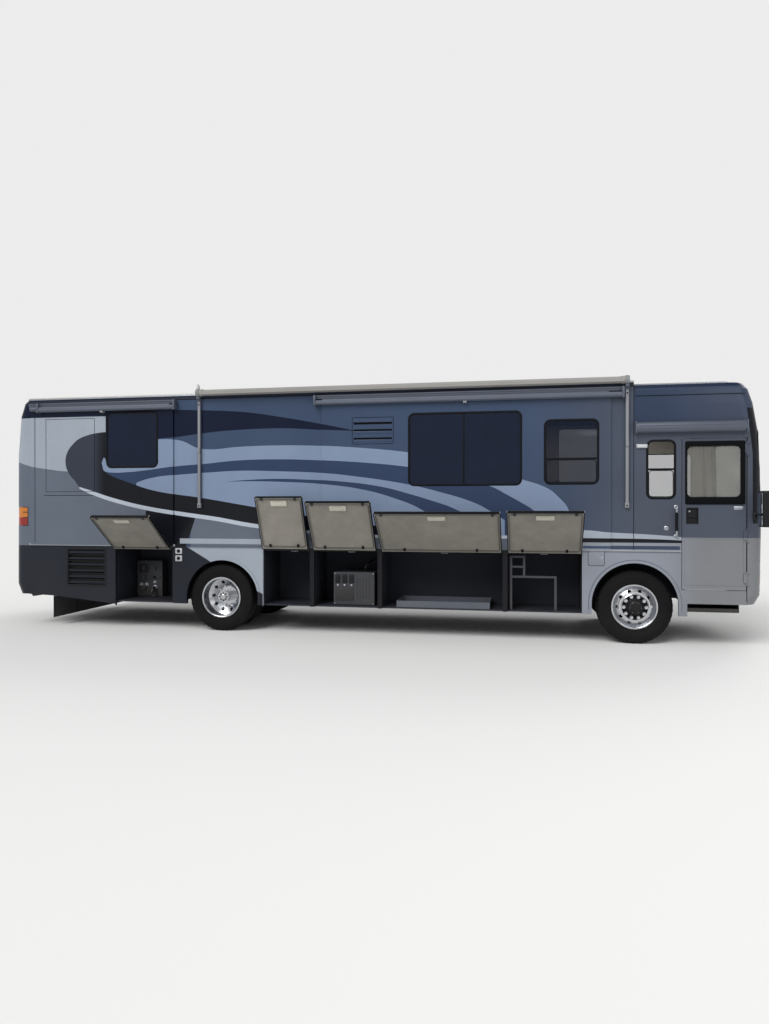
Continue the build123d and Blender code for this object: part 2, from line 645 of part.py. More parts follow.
# A folding step below the door: side arms and a tread
def entry_step():
    x0, x1 = DOOR_X[0] + 41, DOOR_X[1] - 64
    y0, y1 = -HALF_WIDTH + 55, -HALF_WIDTH + 335
    tread = fillet(block(x0 + 12 + SEAT_GAP, x1 - 12 - SEAT_GAP, y0, y1, 448, 500).edges().filter_by(Axis.X), 12)
    for k in range(5):
        y = y0 + 30 + 52 * k
        tread -= block(x0 + 40, x1 - 40, y, y + 26, 494, 510)
    solids = [tread]
    for x in (x0, x1 - 12):
        solids.append(block(x, x + 12, y0 + 20, y1, 448, 765 - SEAT_GAP))
    return solids


# Awnings: the patio roller with its arms, the door's box, and rollers over the rooms
def awnings():
    y = -AWNING_Y
    gap = SEAT_GAP
    solids = [rod_x(y, AWNING_Z, AWNING_R, AWNING_X[0] + ARM_W + gap, AWNING_X[1] - ARM_W - gap)]
    for x in (AWNING_X[0], AWNING_X[1] - ARM_W):
        arm = block(x, x + ARM_W, -HALF_WIDTH - 40, -HALF_WIDTH - gap, ARM_BOTTOM_Z, AWNING_Z - 90)
        arm -= block(x + 12, x + ARM_W - 12, -HALF_WIDTH - 50, -HALF_WIDTH - 28, ARM_BOTTOM_Z + 30, AWNING_Z - 130)
        head = block(x, x + ARM_W, y - 20, -HALF_WIDTH - gap, AWNING_Z - 90 + gap, AWNING_Z + 20)
        solids += [arm, head]
    x0, x1, z0, z1 = WINDOW_AWNING
    box = block(x0, x1, -HALF_WIDTH - 34, -HALF_WIDTH - gap, z0, z1)
    solids.append(box + rod_x(-HALF_WIDTH - 48, (z0 + z1) / 2, 46, x0, x1))
    for room in (BEDROOM_SLIDE, GALLEY_SLIDE):
        x0, x1 = room[0] + 30, room[1] - 30
        z0 = SLIDE_Z[1] + 8
        rail = block(x0, x1, -HALF_WIDTH - 40, -HALF_WIDTH - gap, z0, z0 + 88)
        solids.append(rail + rod_x(-HALF_WIDTH - 54, z0 + 40, 34, x0, x1))
    return solids


# Frame: channel rails, cross tubes, floor posts and brackets to the bays
def chassis_frame():
    solids = []
    gap = SEAT_GAP
    for side in (-1, 1):
        y = side * RAIL_Y
        rail = block(*RAIL_X, y, y + side * RAIL_T, *RAIL_Z)
        for z in (RAIL_Z[0], RAIL_Z[1] - RAIL_T):
            rail += block(*RAIL_X, y - side * RAIL_FLANGE, y, z, z + RAIL_T)
        solids.append(rail)
        for x in POSTS_X:
            solids.append(block(x - 30, x + 30, y, y + side * RAIL_T, RAIL_Z[1] + gap, CEILING_Z))
        for x in BRACKETS_X:
            y_out = side * (BAY_BACK_Y - gap)
            solids.append(block(x - 25, x + 25, y + side * (RAIL_T + gap), y_out, 780, 860))
    for x in CROSS_X:
        tube = block(x - CROSS_HALF, x + CROSS_HALF, -RAIL_Y + gap, RAIL_Y - gap, *CROSS_Z)
        if x == CROSS_X[1]:
            # The drive shaft passes through this one
            tube -= rod_x(0, SHAFT_Z, SHAFT_R + 15, x - 40, x + 40)
        solids.append(tube)
    return solids


def engine():
    body = block(CROSS_X[0] + CROSS_HALF, -3900, -330, 330, 600, 1150)
    body += block(-3900, -3350, -230, 230, 640, 1000)
    return body + rod_x(0, SHAFT_Z, SHAFT_R, -3350, REAR_AXLE_X - 195)


# Behind the right grille, on an arm from the frame
def radiator():
    x0, x1, z0, z1 = GRILLE
    core = block(x0 - 20, x1 + 20, -INNER_Y + 10, -INNER_Y + 105, z0 - 30, z1 + 5)
    return core + block(x0 + 100, x1 - 100, -INNER_Y + 105, -RAIL_Y - RAIL_T, 800, 900)


def tanks():
    solids = []
    for k in (2, 3):
        x0, x1 = CROSS_X[k] + CROSS_HALF + SEAT_GAP, CROSS_X[k + 1] - CROSS_HALF - SEAT_GAP
        tank = block(x0, x1, -340, 340, 520, 900)
        solids.append(fillet(tank.edges().filter_by(Axis.X), 60))
    return solids


# A rubber sheet behind the rear wheels
def mud_flap():
    x = -4775
    sheet = block(x, x + 12, -INNER_Y + 30, INNER_Y - 30, 120, 470)
    for side in (-1, 1):
        y = side * (RAIL_Y - 40)
        sheet += block(x, x + 12, y - 30, y + 30, 470, RAIL_Z[0] - SEAT_GAP)
    return sheet


def front_axle():
    x, z = FRONT_AXLE_X, TYRE_R
    axle = block(x - 45, x + 45, -620, 620, z - 110, z - 20)
    for side in (-1, 1):
        axle += block(x - 40, x + 40, side * 560, side * (KINGPIN_Y - 30), z - 60, z + 30)
        axle += rod_z(x, side * KINGPIN_Y, 48, z - 70, z + 70)
        axle -= rod_z(x, side * KINGPIN_Y, 22 + RUNNING_GAP, z - 80, z + 80)
        # Leaf spring with its hangers
        ys = (side * (RAIL_Y - 70), side * (RAIL_Y + 5))
        for half, z0 in ((640, z + 45), (520, z + 32), (380, z + 19)):
            axle += block(x - half, x + half, *ys, z0, z0 + 14)
        axle += block(x - 60, x + 60, *ys, z - 30, z + 40)
        for end in (-1, 1):
            axle += block(x + end * 640, x + end * 570, *ys, z + 45, RAIL_Z[0])
    return axle


def knuckle(side):
    x, z = FRONT_AXLE_X, TYRE_R
    y_pin = side * KINGPIN_Y
    body = rod_z(x, y_pin, 22, z - 120, z + 120)
    for z0, z1 in ((z - 120, z - 75), (z + 75, z + 120)):
        body += rod_z(x, y_pin, 45, z0, z1)
        body += block(x - 40, x + 40, y_pin, side * (KINGPIN_Y + 75), z0, z1)
    body += block(x - 70, x + 70, side * (KINGPIN_Y + 55), side * (KINGPIN_Y + 80), z - 120, z + 120)
    body += rod_y(x, z, 40, side * (KINGPIN_Y + 80), side * (FRONT_TRACK_Y + DISC_OFFSET - 20))
    # Steering arm
    return body + block(x + 40, x + 200, y_pin, side * (KINGPIN_Y + 40), z + 80, z + 110)


def rear_axle():
    x, z = REAR_AXLE_X, TYRE_R
    axle = rod_y(x, z, 70, -560, 560)
    axle += rod_y(x, z, 45, -DUAL_OUT_Y, DUAL_OUT_Y)
    axle += Pos(x, 0, z) * Sphere(190)
    axle += rod_x(0, z + 70, SHAFT_R, x - 330, x - 100)
    for side in (-1, 1):
        # Air springs on a trailing beam
        for dx in (-380, 380):
            axle += rod_z(x + dx, side * (RAIL_Y - 35), 115, z + 90, RAIL_Z[0])
        axle += block(x - 480, x + 480, side * (RAIL_Y - 85), side * (RAIL_Y + 15), z - 20, z + 90)
    return axle


# Tyre section turned about the axle line
def tyre(x, y):
    half = TYRE_W / 2
    profile = [
        (RIM_R, RIM_W / 2 - BEAD_IN),
        (RIM_FLANGE_R + 92, half),
        (TYRE_R - SHOULDER_R, half - 8),
        (TYRE_R, half - SHOULDER_R),
    ]
    profile += [(r, -across) for r, across in reversed(profile)]
    return Pos(x, y, TYRE_R) * revolve(make_face(Polyline(*profile, close=True)), Axis.Y, 360)


# Rim: a flanged barrel and a dished disc towards one side, with hand holes
def rim(x, y, towards):
    half = RIM_W / 2
    bore = RIM_R - 1 - RIM_WALL
    barrel = rod_y(0, 0, RIM_R - 1, -half, half) - rod_y(0, 0, bore, -half - 5, half + 5)
    for end in (-1, 1):
        flange = rod_y(0, 0, RIM_FLANGE_R, end * half, end * (half + 14))
        barrel += flange - rod_y(0, 0, bore, end * (half - 5), end * (half + 19))
    y_disc = towards * DISC_OFFSET
    y_foot = towards * (half - 40)
    y_back = y_disc - towards * 22
    y_foot_back = y_foot - towards * 24
    profile = Polyline((75, y_disc), (150, y_disc), (RIM_R - 4, y_foot), (RIM_R - 4, y_foot_back),
                       (140, y_back), (75, y_back), close=True)
    disc = revolve(make_face(profile), Axis.Y, 360)
    for k in range(HAND_HOLES):
        angle = math.radians(360 / HAND_HOLES * k)
        disc -= rod_y(212 * math.cos(angle), 212 * math.sin(angle), 24, -300, 300)
    return Pos(x, y, TYRE_R) * (barrel + disc)


# Hub drum with a blind bore for its spindle
def hub(x, side, y_in, y_drum, y_out, drum_r, bore_r, bore_end):
    z = TYRE_R
    body = rod_y(x, z, drum_r, side * y_in, side * y_drum)
    body += rod_y(x, z, 82, side * y_drum, side * y_out)
    return body - rod_y(x, z, bore_r, side * (y_in - 10), side * bore_end)


def front_wheel(side):
    x = FRONT_AXLE_X
    disc_y = FRONT_TRACK_Y + DISC_OFFSET
    body = rim(x, side * FRONT_TRACK_Y, side)
    spindle = 40 + RUNNING_GAP
    return body + hub(x, side, KINGPIN_Y + 100, disc_y - 22, disc_y + 42, 200, spindle, disc_y - 10)


def rear_wheels(side):
    x = REAR_AXLE_X
    body = rim(x, side * DUAL_OUT_Y, -side) + rim(x, side * DUAL_IN_Y, side)
    mate = (DUAL_OUT_Y + DUAL_IN_Y) / 2
    spindle = 45 + RUNNING_GAP
    return body + hub(x, side, 620, mate - 20, DUAL_OUT_Y + 50, 195, spindle, DUAL_OUT_Y + 5)


# Outside mirrors on arms from the cap's corners
def mirrors(cap_body):
    solids = []
    for side in (-1, 1):
        arm = rod_y(NOSE_X - 225, 1700, 22, side * (HALF_WIDTH - 45), side * (HALF_WIDTH + 230))
        head = block(NOSE_X - 250, NOSE_X - 130, side * (HALF_WIDTH + 130), side * (HALF_WIDTH + 360), 1560, 2010)
        solids.append(arm + fillet(head.edges(), 30) - cap_body)
    return solids


# Tow receiver: a square tube with a cross pin hole, hung below the frame's end
RECEIVER_HALF = 31.75
RECEIVER_BORE = 25.4
PIN_HOLE_R = 8.1
RECEIVER_Z = 440
RECEIVER_X = TAIL_X - 30
RECEIVER_BAR_X = (RAIL_X[0], RAIL_X[0] + 90)


def tow_receiver():
    low, high = RECEIVER_Z - RECEIVER_HALF, RECEIVER_Z + RECEIVER_HALF
    tube = block(RECEIVER_X, RECEIVER_BAR_X[0] - SEAT_GAP, -RECEIVER_HALF, RECEIVER_HALF, low, high)
    mouth = (RECEIVER_Z - RECEIVER_BORE, RECEIVER_Z + RECEIVER_BORE)
    tube -= block(RECEIVER_X - 10, RECEIVER_X + 260, -RECEIVER_BORE, RECEIVER_BORE, *mouth)
    tube -= rod_y(RECEIVER_X + 64, RECEIVER_Z, PIN_HOLE_R, -60, 60)
    solids = [tube, block(*RECEIVER_BAR_X, -RAIL_Y, RAIL_Y, low, high)]
    for side in (-1, 1):
        ys = (side * (RAIL_Y - RAIL_FLANGE), side * (RAIL_Y - RAIL_FLANGE + 15))
        solids.append(block(*RECEIVER_BAR_X, *ys, high + SEAT_GAP, RAIL_Z[0]))
    return solids


# Cab furniture
SEAT_X = 4180
SEAT_Y = 560
SEAT_Z = SILL_Z + 300


def seats():
    solids = []
    x = SEAT_X
    for y in (-SEAT_Y, SEAT_Y):
        pedestal = rod_z(x, y, 110, SILL_Z, SEAT_Z)
        cushion = fillet(block(x - 260, x + 260, y - 260, y + 260, SEAT_Z, SEAT_Z + 150).edges(), 50)
        back = fillet(block(x - 300, x - 170, y - 250, y + 250, SEAT_Z + 100, SEAT_Z + 780).edges(), 50)
        solids.append(pedestal + cushion + back)
    return solids


DASH_X = 4880
WHEEL_TILT = 40


def dashboard():
    z = SILL_Z
    points = [(DASH_X + 50, z), (DASH_X, z + 278), (DASH_X + 60, z + 418), (DASH_X + 350, z + 388), (DASH_X + 370, z)]
    dash = side_profile(points, -700, 900)
    column_place = Pos(DASH_X - 50, SEAT_Y, z + 418) * Rot(0, 90 + WHEEL_TILT, 0)
    wheel = Torus(225, 16) + Cylinder(50, 40) + Box(30, 430, 14) + Box(430, 30, 14)
    wheel = Pos(DASH_X - 140, SEAT_Y, z + 498) * Rot(0, -WHEEL_TILT, 0) * wheel
    column = column_place * Cylinder(30, 330)
    return [dash - column_place * Cylinder(30 + SEAT_GAP, 330 + 2 * SEAT_GAP), wheel + column]


roof_solid = roof()
face_y = HALF_WIDTH + SEAL_GAP + SLIDE_PROUD - 2
pieces = {
    "chassis_frame": chassis_frame(),
    "engine": engine(),
    "radiator": radiator(),
    "tanks": tanks(),
    "mud_flap": mud_flap(),
    "front_axle": front_axle(),
    "rear_axle": rear_axle(),
    "floor_deck": floor_deck(),
    "right_wall": wall(-1, [BEDROOM_SLIDE, GALLEY_SLIDE], []),
    "left_wall": wall(1, [LEFT_SLIDE], LEFT_WINDOWS),
    "roof": roof_solid,
    "roof_vents": roof_vents(roof_solid),
    "front_cap": front_cap(),
    "rear_cap": rear_cap(),
    "windscreen": windscreen(),
    "side_windows": panes(-1, [NARROW_WINDOW], HALF_WIDTH - 2)
    + panes(1, [*LEFT_WINDOWS, DRIVER_WINDOW], HALF_WIDTH - 2)
    + panes(-1, [BEDROOM_WINDOW, BIG_WINDOW, MID_WINDOW], face_y),
    "right_lower_panels": right_lower_panels(),
    "left_lower_panels": lower_panels(1, LEFT_BAYS),
    "storage_bays": storage_bays(),
    "bay_fittings": bay_fittings(),
    "wheel_wells": wheel_wells(),
    "right_slide_rooms": slide_room(-1, BEDROOM_SLIDE, [BEDROOM_WINDOW]) + galley_room(),
    "left_slide_room": slide_room(1, LEFT_SLIDE, LEFT_SLIDE_WINDOWS),
    "left_slide_windows": panes(1, LEFT_SLIDE_WINDOWS, face_y),
    "awnings": awnings(),
    "entry_door": entry_door(),
    "entry_door_window": panes(-1, [DOOR_WINDOW], HALF_WIDTH - 2),
    "engine_hatch": engine_hatch(),
    "entry_step": entry_step(),
    "mirrors": mirrors(front_loft(0)),
    "lamps": lamps(),
    "tow_receiver": tow_receiver(),
    "cab_seats": seats(),
    "dashboard": dashboard(),
}
for name, side in (("left", 1), ("right", -1)):
    pieces[f"knuckle_{name}"] = knuckle(side)
    pieces[f"front_wheel_{name}"] = front_wheel(side)
    pieces[f"front_tyre_{name}"] = tyre(FRONT_AXLE_X, side * FRONT_TRACK_Y)
    pieces[f"rear_wheels_{name}"] = rear_wheels(side)
    pieces[f"rear_tyres_{name}"] = [tyre(REAR_AXLE_X, side * y) for y in (DUAL_OUT_Y, DUAL_IN_Y)]
for number, (x0, x1, rise) in enumerate(RIGHT_BAYS, 1):
    pieces[f"right_bay_door_{number}"] = bay_door(x0, x1, -1, -(90 + rise))
for number, (x0, x1) in enumerate(LEFT_BAYS, 1):
    pieces[f"left_bay_door_{number}"] = bay_door(x0, x1, 1, 0)

os.makedirs("parts", exist_ok=True)
for name, shape in pieces.items():
    solids = shape if isinstance(shape, list) else [shape]
    solids = [Pos(-MIDDLE_X, -MIDDLE_Y, 0) * s for item in solids for s in item.solids()]
    whole = solids[0] if len(solids) == 1 else Compound(children=solids)
    export_step(whole, f"parts/{name}.step")
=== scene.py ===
import math
import bmesh
import bpy
from mathutils import Matrix, Vector


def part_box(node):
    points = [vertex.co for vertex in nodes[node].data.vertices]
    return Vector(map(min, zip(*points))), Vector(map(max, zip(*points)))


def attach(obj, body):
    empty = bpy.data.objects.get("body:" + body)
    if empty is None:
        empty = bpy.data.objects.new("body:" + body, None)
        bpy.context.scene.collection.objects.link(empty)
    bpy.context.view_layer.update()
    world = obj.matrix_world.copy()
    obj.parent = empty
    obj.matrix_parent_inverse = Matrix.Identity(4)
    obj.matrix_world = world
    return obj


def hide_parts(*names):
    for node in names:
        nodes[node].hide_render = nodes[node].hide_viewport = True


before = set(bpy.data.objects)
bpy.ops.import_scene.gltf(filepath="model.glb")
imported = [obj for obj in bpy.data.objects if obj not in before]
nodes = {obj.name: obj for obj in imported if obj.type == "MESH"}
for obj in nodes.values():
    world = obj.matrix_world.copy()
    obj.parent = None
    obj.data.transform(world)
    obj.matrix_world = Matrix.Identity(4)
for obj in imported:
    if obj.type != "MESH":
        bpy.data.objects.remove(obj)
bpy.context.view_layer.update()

# Places are metres from the middle of the rear axle line on the ground, X forward and Y left
rear_low, rear_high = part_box("rear_wheels_right")
AXLE_X = (rear_low[0] + rear_high[0]) / 2
MID_Y = (rear_low[1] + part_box("rear_wheels_left")[1][1]) / 2
WHEELBASE = 5.791
HALF_WIDTH = 1.27
SIDE = -HALF_WIDTH
ROOM_PROUD = 0.025
SILL_Z = 1.222
TAIL_X = -3.42
NOSE_X = 7.48
CAP_REAR_X = -3.10
CAP_FRONT_X = 5.765
BELT_Z = 1.414
INSIDE_Y = 1.2405
INSIDE_X = (-3.05, 7.14)
ROOT = "coach"
LEFT_ROOM = "left_slide"


def at(x, y, z):
    return Vector((AXLE_X + x, MID_Y + y, z))


# Camera at the photograph's place, in the same measure
CAMERA_PLACE = at(4.44, -11.52, 1.80)
CAMERA_TURN = 11.01
CAMERA_PITCH = -0.32
LENS = 26.37


# Node helpers for materials

def new_group(name, inputs, outputs):
    tree = bpy.data.node_groups.new(name, "ShaderNodeTree")
    for label, kind, value in inputs:
        socket = tree.interface.new_socket(label, in_out="INPUT", socket_type=kind)
        if value is not None:
            socket.default_value = value
    for label, kind in outputs:
        tree.interface.new_socket(label, in_out="OUTPUT", socket_type=kind)
    return tree, tree.nodes.new("NodeGroupInput"), tree.nodes.new("NodeGroupOutput")


def feed(tree, socket, value):
    if isinstance(value, bpy.types.NodeSocket):
        tree.links.new(value, socket)
    else:
        socket.default_value = value


def math_node(tree, operation, first, second=None, third=None):
    node = tree.nodes.new("ShaderNodeMath")
    node.operation = operation
    for socket, value in zip(node.inputs, (first, second, third)):
        if value is not None:
            feed(tree, socket, value)
    return node.outputs[0]


def mix_colour(tree, factor, under, over):
    node = tree.nodes.new("ShaderNodeMix")
    node.data_type = "RGBA"
    feed(tree, node.inputs["Factor"], factor)
    feed(tree, node.inputs[6], under)
    feed(tree, node.inputs[7], over)
    return node.outputs[2]


def noise(tree, vector, scale, detail=3.0, roughness=0.55):
    node = tree.nodes.new("ShaderNodeTexNoise")
    feed(tree, node.inputs["Vector"], vector)
    feed(tree, node.inputs["Scale"], scale)
    node.inputs["Detail"].default_value = detail
    node.inputs["Roughness"].default_value = roughness
    return node.outputs["Fac"]


def spread(tree, value, low, high, to_low, to_high, smooth=False):
    node = tree.nodes.new("ShaderNodeMapRange")
    node.interpolation_type = "SMOOTHSTEP" if smooth else "LINEAR"
    feed(tree, node.inputs["Value"], value)
    for label, number in (("From Min", low), ("From Max", high), ("To Min", to_low), ("To Max", to_high)):
        feed(tree, node.inputs[label], number)
    return node.outputs["Result"]


def rgb(red, green, blue):
    """A display colour, 0 to 255, as a linear shader colour."""
    linear = []
    for part in (red, green, blue):
        part /= 255
        linear.append(part / 12.92 if part <= 0.04045 else ((part + 0.055) / 1.055) ** 2.4)
    return (*linear, 1.0)


def make_wear_group():
    """Dust that settles low down and in patches, fine scratches and an uneven gloss."""
    tree, given, out = new_group(
        "dust_and_wear",
        [("Colour", "NodeSocketColor", (0.5, 0.5, 0.5, 1)), ("Place", "NodeSocketVector", None),
         ("Gloss", "NodeSocketFloat", 0.3), ("Dust", "NodeSocketFloat", 0.3), ("Grain", "NodeSocketFloat", 0.2)],
        [("Colour", "NodeSocketColor"), ("Roughness", "NodeSocketFloat"), ("Height", "NodeSocketFloat")])
    place = given.outputs["Place"]
    split = tree.nodes.new("ShaderNodeSeparateXYZ")
    tree.links.new(place, split.inputs[0])
    broad = noise(tree, place, 1.3, 4.0)
    fine = noise(tree, place, 38.0, 4.0, 0.65)
    low_down = spread(tree, split.outputs["Z"], 0.25, 1.5, 1.0, 0.12)
    patches = spread(tree, broad, 0.38, 0.68, 0.25, 1.0)
    speckle = spread(tree, fine, 0.42, 0.70, 0.55, 1.0)
    amount = math_node(tree, "MULTIPLY", low_down, patches)
    amount = math_node(tree, "MULTIPLY", amount, speckle)
    amount = math_node(tree, "MULTIPLY", amount, given.outputs["Dust"])
    shade = spread(tree, broad, 0.3, 0.7, 0.94, 1.05)
    varied = tree.nodes.new("ShaderNodeVectorMath")
    varied.operation = "SCALE"
    tree.links.new(given.outputs["Colour"], varied.inputs[0])
    tree.links.new(shade, varied.inputs["Scale"])
    dusty = mix_colour(tree, amount, varied.outputs[0], rgb(126, 117, 104))
    tree.links.new(dusty, out.inputs["Colour"])
    rough = math_node(tree, "ADD", given.outputs["Gloss"], math_node(tree, "MULTIPLY", amount, 0.45))
    rough = math_node(tree, "ADD", rough, math_node(tree, "MULTIPLY", math_node(tree, "SUBTRACT", broad, 0.5), 0.10))
    tree.links.new(rough, out.inputs["Roughness"])
    tree.links.new(math_node(tree, "MULTIPLY", fine, given.outputs["Grain"]), out.inputs["Height"])
    return tree


WEAR = make_wear_group()


def blank_material(name):
    """A new material, with its node tree and shader."""
    material = bpy.data.materials.new(name)
    material.use_nodes = True
    return material, material.node_tree, material.node_tree.nodes["Principled BSDF"]


def finish_material(name, colour, gloss, dust, grain, bump, metallic=0.0, coat=0.0, shine=0.35, colour_group=None):
    """A worn, dusty surface; colour is fixed or comes from a group that reads the place."""
    material, tree, shader = blank_material(name)
    place = tree.nodes.new("ShaderNodeTexCoord").outputs["Object"]
    wear = tree.nodes.new("ShaderNodeGroup")
    wear.node_tree = WEAR
    tree.links.new(place, wear.inputs["Place"])
    if colour_group is None:
        wear.inputs["Colour"].default_value = colour
    else:
        paint = tree.nodes.new("ShaderNodeGroup")
        paint.node_tree = colour_group
        tree.links.new(place, paint.inputs["Place"])
        tree.links.new(paint.outputs["Colour"], wear.inputs["Colour"])
    wear.inputs["Gloss"].default_value = gloss
    wear.inputs["Dust"].default_value = dust
    wear.inputs["Grain"].default_value = grain
    tree.links.new(wear.outputs["Colour"], shader.inputs["Base Color"])
    tree.links.new(wear.outputs["Roughness"], shader.inputs["Roughness"])
    shader.inputs["Metallic"].default_value = metallic
    shader.inputs["Specular IOR Level"].default_value = shine
    shader.inputs["Coat Weight"].default_value = coat
    shader.inputs["Coat Roughness"].default_value = 0.12
    lift = tree.nodes.new("ShaderNodeBump")
    lift.inputs["Strength"].default_value = bump
    lift.inputs["Distance"].default_value = 0.002
    tree.links.new(wear.outputs["Height"], lift.inputs["Height"])
    tree.links.new(lift.outputs["Normal"], shader.inputs["Normal"])
    return material


# Paint: each edge of a stripe is a curve of height over length, read by a Float Curve

class Painter:
    def __init__(self, tree, place):
        self.tree = tree
        split = tree.nodes.new("ShaderNodeSeparateXYZ")
        tree.links.new(place, split.inputs[0])
        self.x = math_node(tree, "SUBTRACT", split.outputs["X"], AXLE_X)
        self.z = split.outputs["Z"]
        self.right = math_node(tree, "LESS_THAN", split.outputs["Y"], MID_Y)
        self.y = math_node(tree, "ABSOLUTE", math_node(tree, "SUBTRACT", split.outputs["Y"], MID_Y))

    def edge(self, points, round_start=False):
        """Height of an edge at this length. round_start makes the first point a blunt, upright tip."""
        tree = self.tree
        x0, x1 = points[0][0], points[-1][0]
        low = min(z for _, z in points)
        high = max(z for _, z in points)
        share = spread(tree, self.x, x0, x1, 0.0, 1.0)
        if round_start:
            share = math_node(tree, "SQRT", share)
        node = tree.nodes.new("ShaderNodeFloatCurve")
        curve = node.mapping.curves[0]
        for index, (x, z) in enumerate(points):
            u = (x - x0) / (x1 - x0)
            u = math.sqrt(u) if round_start else u
            v = (z - low) / (high - low)
            if index == 0:
                curve.points[0].location = (u, v)
            elif index == len(points) - 1:
                curve.points[len(curve.points) - 1].location = (u, v)
            else:
                curve.points.new(u, v)
        node.mapping.update()
        tree.links.new(share, node.inputs["Value"])
        return math_node(tree, "MULTIPLY_ADD", node.outputs["Value"], high - low, low)

    @classmethod
    def group(cls, name):
        """A painter on a new node group that turns a place into a colour."""
        tree, given, out = new_group(name, [("Place", "NodeSocketVector", None)], [("Colour", "NodeSocketColor")])
        painter = cls(tree, given.outputs["Place"])
        painter.place, painter.out = given.outputs["Place"], out.inputs["Colour"]
        return painter

    def end(self, colour):
        self.tree.links.new(colour, self.out)
        return self.tree

    def math(self, operation, *values):
        return math_node(self.tree, operation, *values)

    def facing(self):
        """The surface's own direction, by axis."""
        split = self.tree.nodes.new("ShaderNodeSeparateXYZ")
        self.tree.links.new(self.tree.nodes.new("ShaderNodeTexCoord").outputs["Normal"], split.inputs[0])
        return split.outputs

    def fade(self, value, low, high, under, over, smooth=False):
        """One colour passing into another as a value goes from low to high."""
        return mix_colour(self.tree, spread(self.tree, value, low, high, 0.0, 1.0, smooth), under, over)

    def above(self, height):
        return self.math("GREATER_THAN", self.z, height)

    def below(self, height):
        return self.math("LESS_THAN", self.z, height)

    def ahead(self, x):
        return self.math("GREATER_THAN", self.x, x)

    def behind(self, x):
        return self.math("LESS_THAN", self.x, x)

    def ring(self, x, z, inner, outer):
        """Mask between two circles round a point on the side."""
        across = self.math("SUBTRACT", self.x, x)
        up = self.math("SUBTRACT", self.z, z)
        reach = self.math("ADD", self.math("MULTIPLY", across, across), self.math("MULTIPLY", up, up))
        beyond = self.math("GREATER_THAN", reach, inner * inner)
        return self.both(beyond, self.math("LESS_THAN", reach, outer * outer))

    def both(self, *masks):
        result = masks[0]
        for mask in masks[1:]:
            result = self.math("MULTIPLY", result, mask)
        return result

    def band(self, lower, upper, x0, x1):
        return self.both(self.above(lower), self.below(upper), self.ahead(x0), self.behind(x1))

    def lay(self, mask, under, over):
        return mix_colour(self.tree, mask, under, over)


SLATE = rgb(56, 71, 96)
WARM_GREY = rgb(70, 76, 89)
DEEP_BLUE = rgb(45, 60, 88)
LIGHT_BLUE = rgb(122, 138, 163)
SILVER = rgb(150, 158, 169)
MID_GREY = rgb(94, 102, 115)
NAVY = rgb(5, 17, 42)
CHARCOAL = rgb(50, 55, 67)
NEAR_BLACK = rgb(13, 15, 23)
STRIPE_WHITE = rgb(176, 184, 196)
LOWER_SILVER = rgb(132, 137, 147)
LOWER_DARK = rgb(27, 31, 41)
NOSE_SILVER = rgb(116, 118, 122)
CAB_TOP = (rgb(46, 58, 80), rgb(56, 65, 84))
ROOF_EDGE = rgb(24, 36, 60)
INSIDE_CREAM = rgb(150, 143, 130)
INSIDE_DARK = rgb(20, 22, 28)

# Where the rear ground ends, the navy band starts, the bays end and the entry door starts
REAR_PAINT_X = -1.72
NAVY_BAND_Z = 3.17
BAYS_FRONT_X = 4.2
DOOR_REAR_X = 6.365

# Edges of the stripes: length, height
NAVY_TOP = [(-2.1, 3.30), (-0.93, 3.249), (-0.30, 3.226), (0.32, 3.188), (0.92, 3.101), (1.52, 2.988), (2.04, 2.878)]
NAVY_LOW = [(-2.1, 2.70), (-1.26, 2.80), (-0.68, 2.839), (-0.30, 2.883), (0.32, 2.928), (0.92, 2.937), (1.52, 2.903),
            (2.04, 2.878)]
LIGHT_A_TOP = [(-1.865, 2.47), (-1.845, 2.54), (-1.82, 2.55), (-1.79, 2.46), (-1.72, 2.42), (-1.2, 2.60),
               (-1.0, 2.80), (-0.68, 2.80), (-0.22, 2.655), (0.32, 2.683), (0.92, 2.693), (1.52, 2.677),
               (2.10, 2.639), (2.78, 2.566), (3.55, 2.42), (4.31, 2.187), (4.63, 2.077), (4.82, 1.929),
               (4.93, 1.79), (5.0, 1.3)]
LIGHT_A_LOW = [(-1.865, 2.47), (-1.85, 2.39), (-1.80, 2.34), (-1.68, 2.325), (-1.45, 2.33), (-1.2, 2.35),
               (-0.68, 2.41), (-0.22, 2.443), (0.32, 2.487), (0.92, 2.494), (1.52, 2.472),
               (2.10, 2.436), (2.78, 2.365), (3.35, 2.26), (3.90, 2.095), (4.14, 1.972), (4.33, 1.864),
               (4.45, 1.79), (5.0, 1.25)]
LIGHT_C_TOP = [(-1.30, 2.17), (-0.95, 2.26), (-0.62, 2.287), (-0.22, 2.312), (0.32, 2.336), (0.92, 2.322),
               (1.51, 2.295), (2.09, 2.233), (2.78, 2.123), (3.22, 2.017), (3.63, 1.893), (3.86, 1.784), (4.5, 1.3)]
TONGUE_TOP = [(0.085, 2.178), (0.47, 2.204), (0.92, 2.215), (1.22, 2.205), (1.81, 2.172), (2.38, 2.098),
              (2.80, 1.992), (3.08, 1.908), (3.43, 1.784), (4.1, 1.3)]
TONGUE_LOW = [(0.085, 2.178), (0.47, 2.183), (0.92, 2.172), (1.51, 2.139), (2.09, 2.065), (2.66, 1.909),
              (2.94, 1.791), (3.5, 1.35)]
BLACK_TOP = [(-1.81, 2.345), (-1.745, 2.297), (-1.42, 2.175), (-0.94, 2.038), (-0.30, 1.948), (0.47, 1.822),
             (1.5, 1.66), (2.6, 1.52), (4.2, 1.36)]
STRIPE_MID = [(-2.244, 2.106), (-1.994, 2.014), (-1.583, 1.892), (-1.097, 1.787), (-0.62, 1.714), (-0.07, 1.641),
              (0.54, 1.541), (1.6, 1.44), (3.0, 1.39), (4.2, 1.41)]
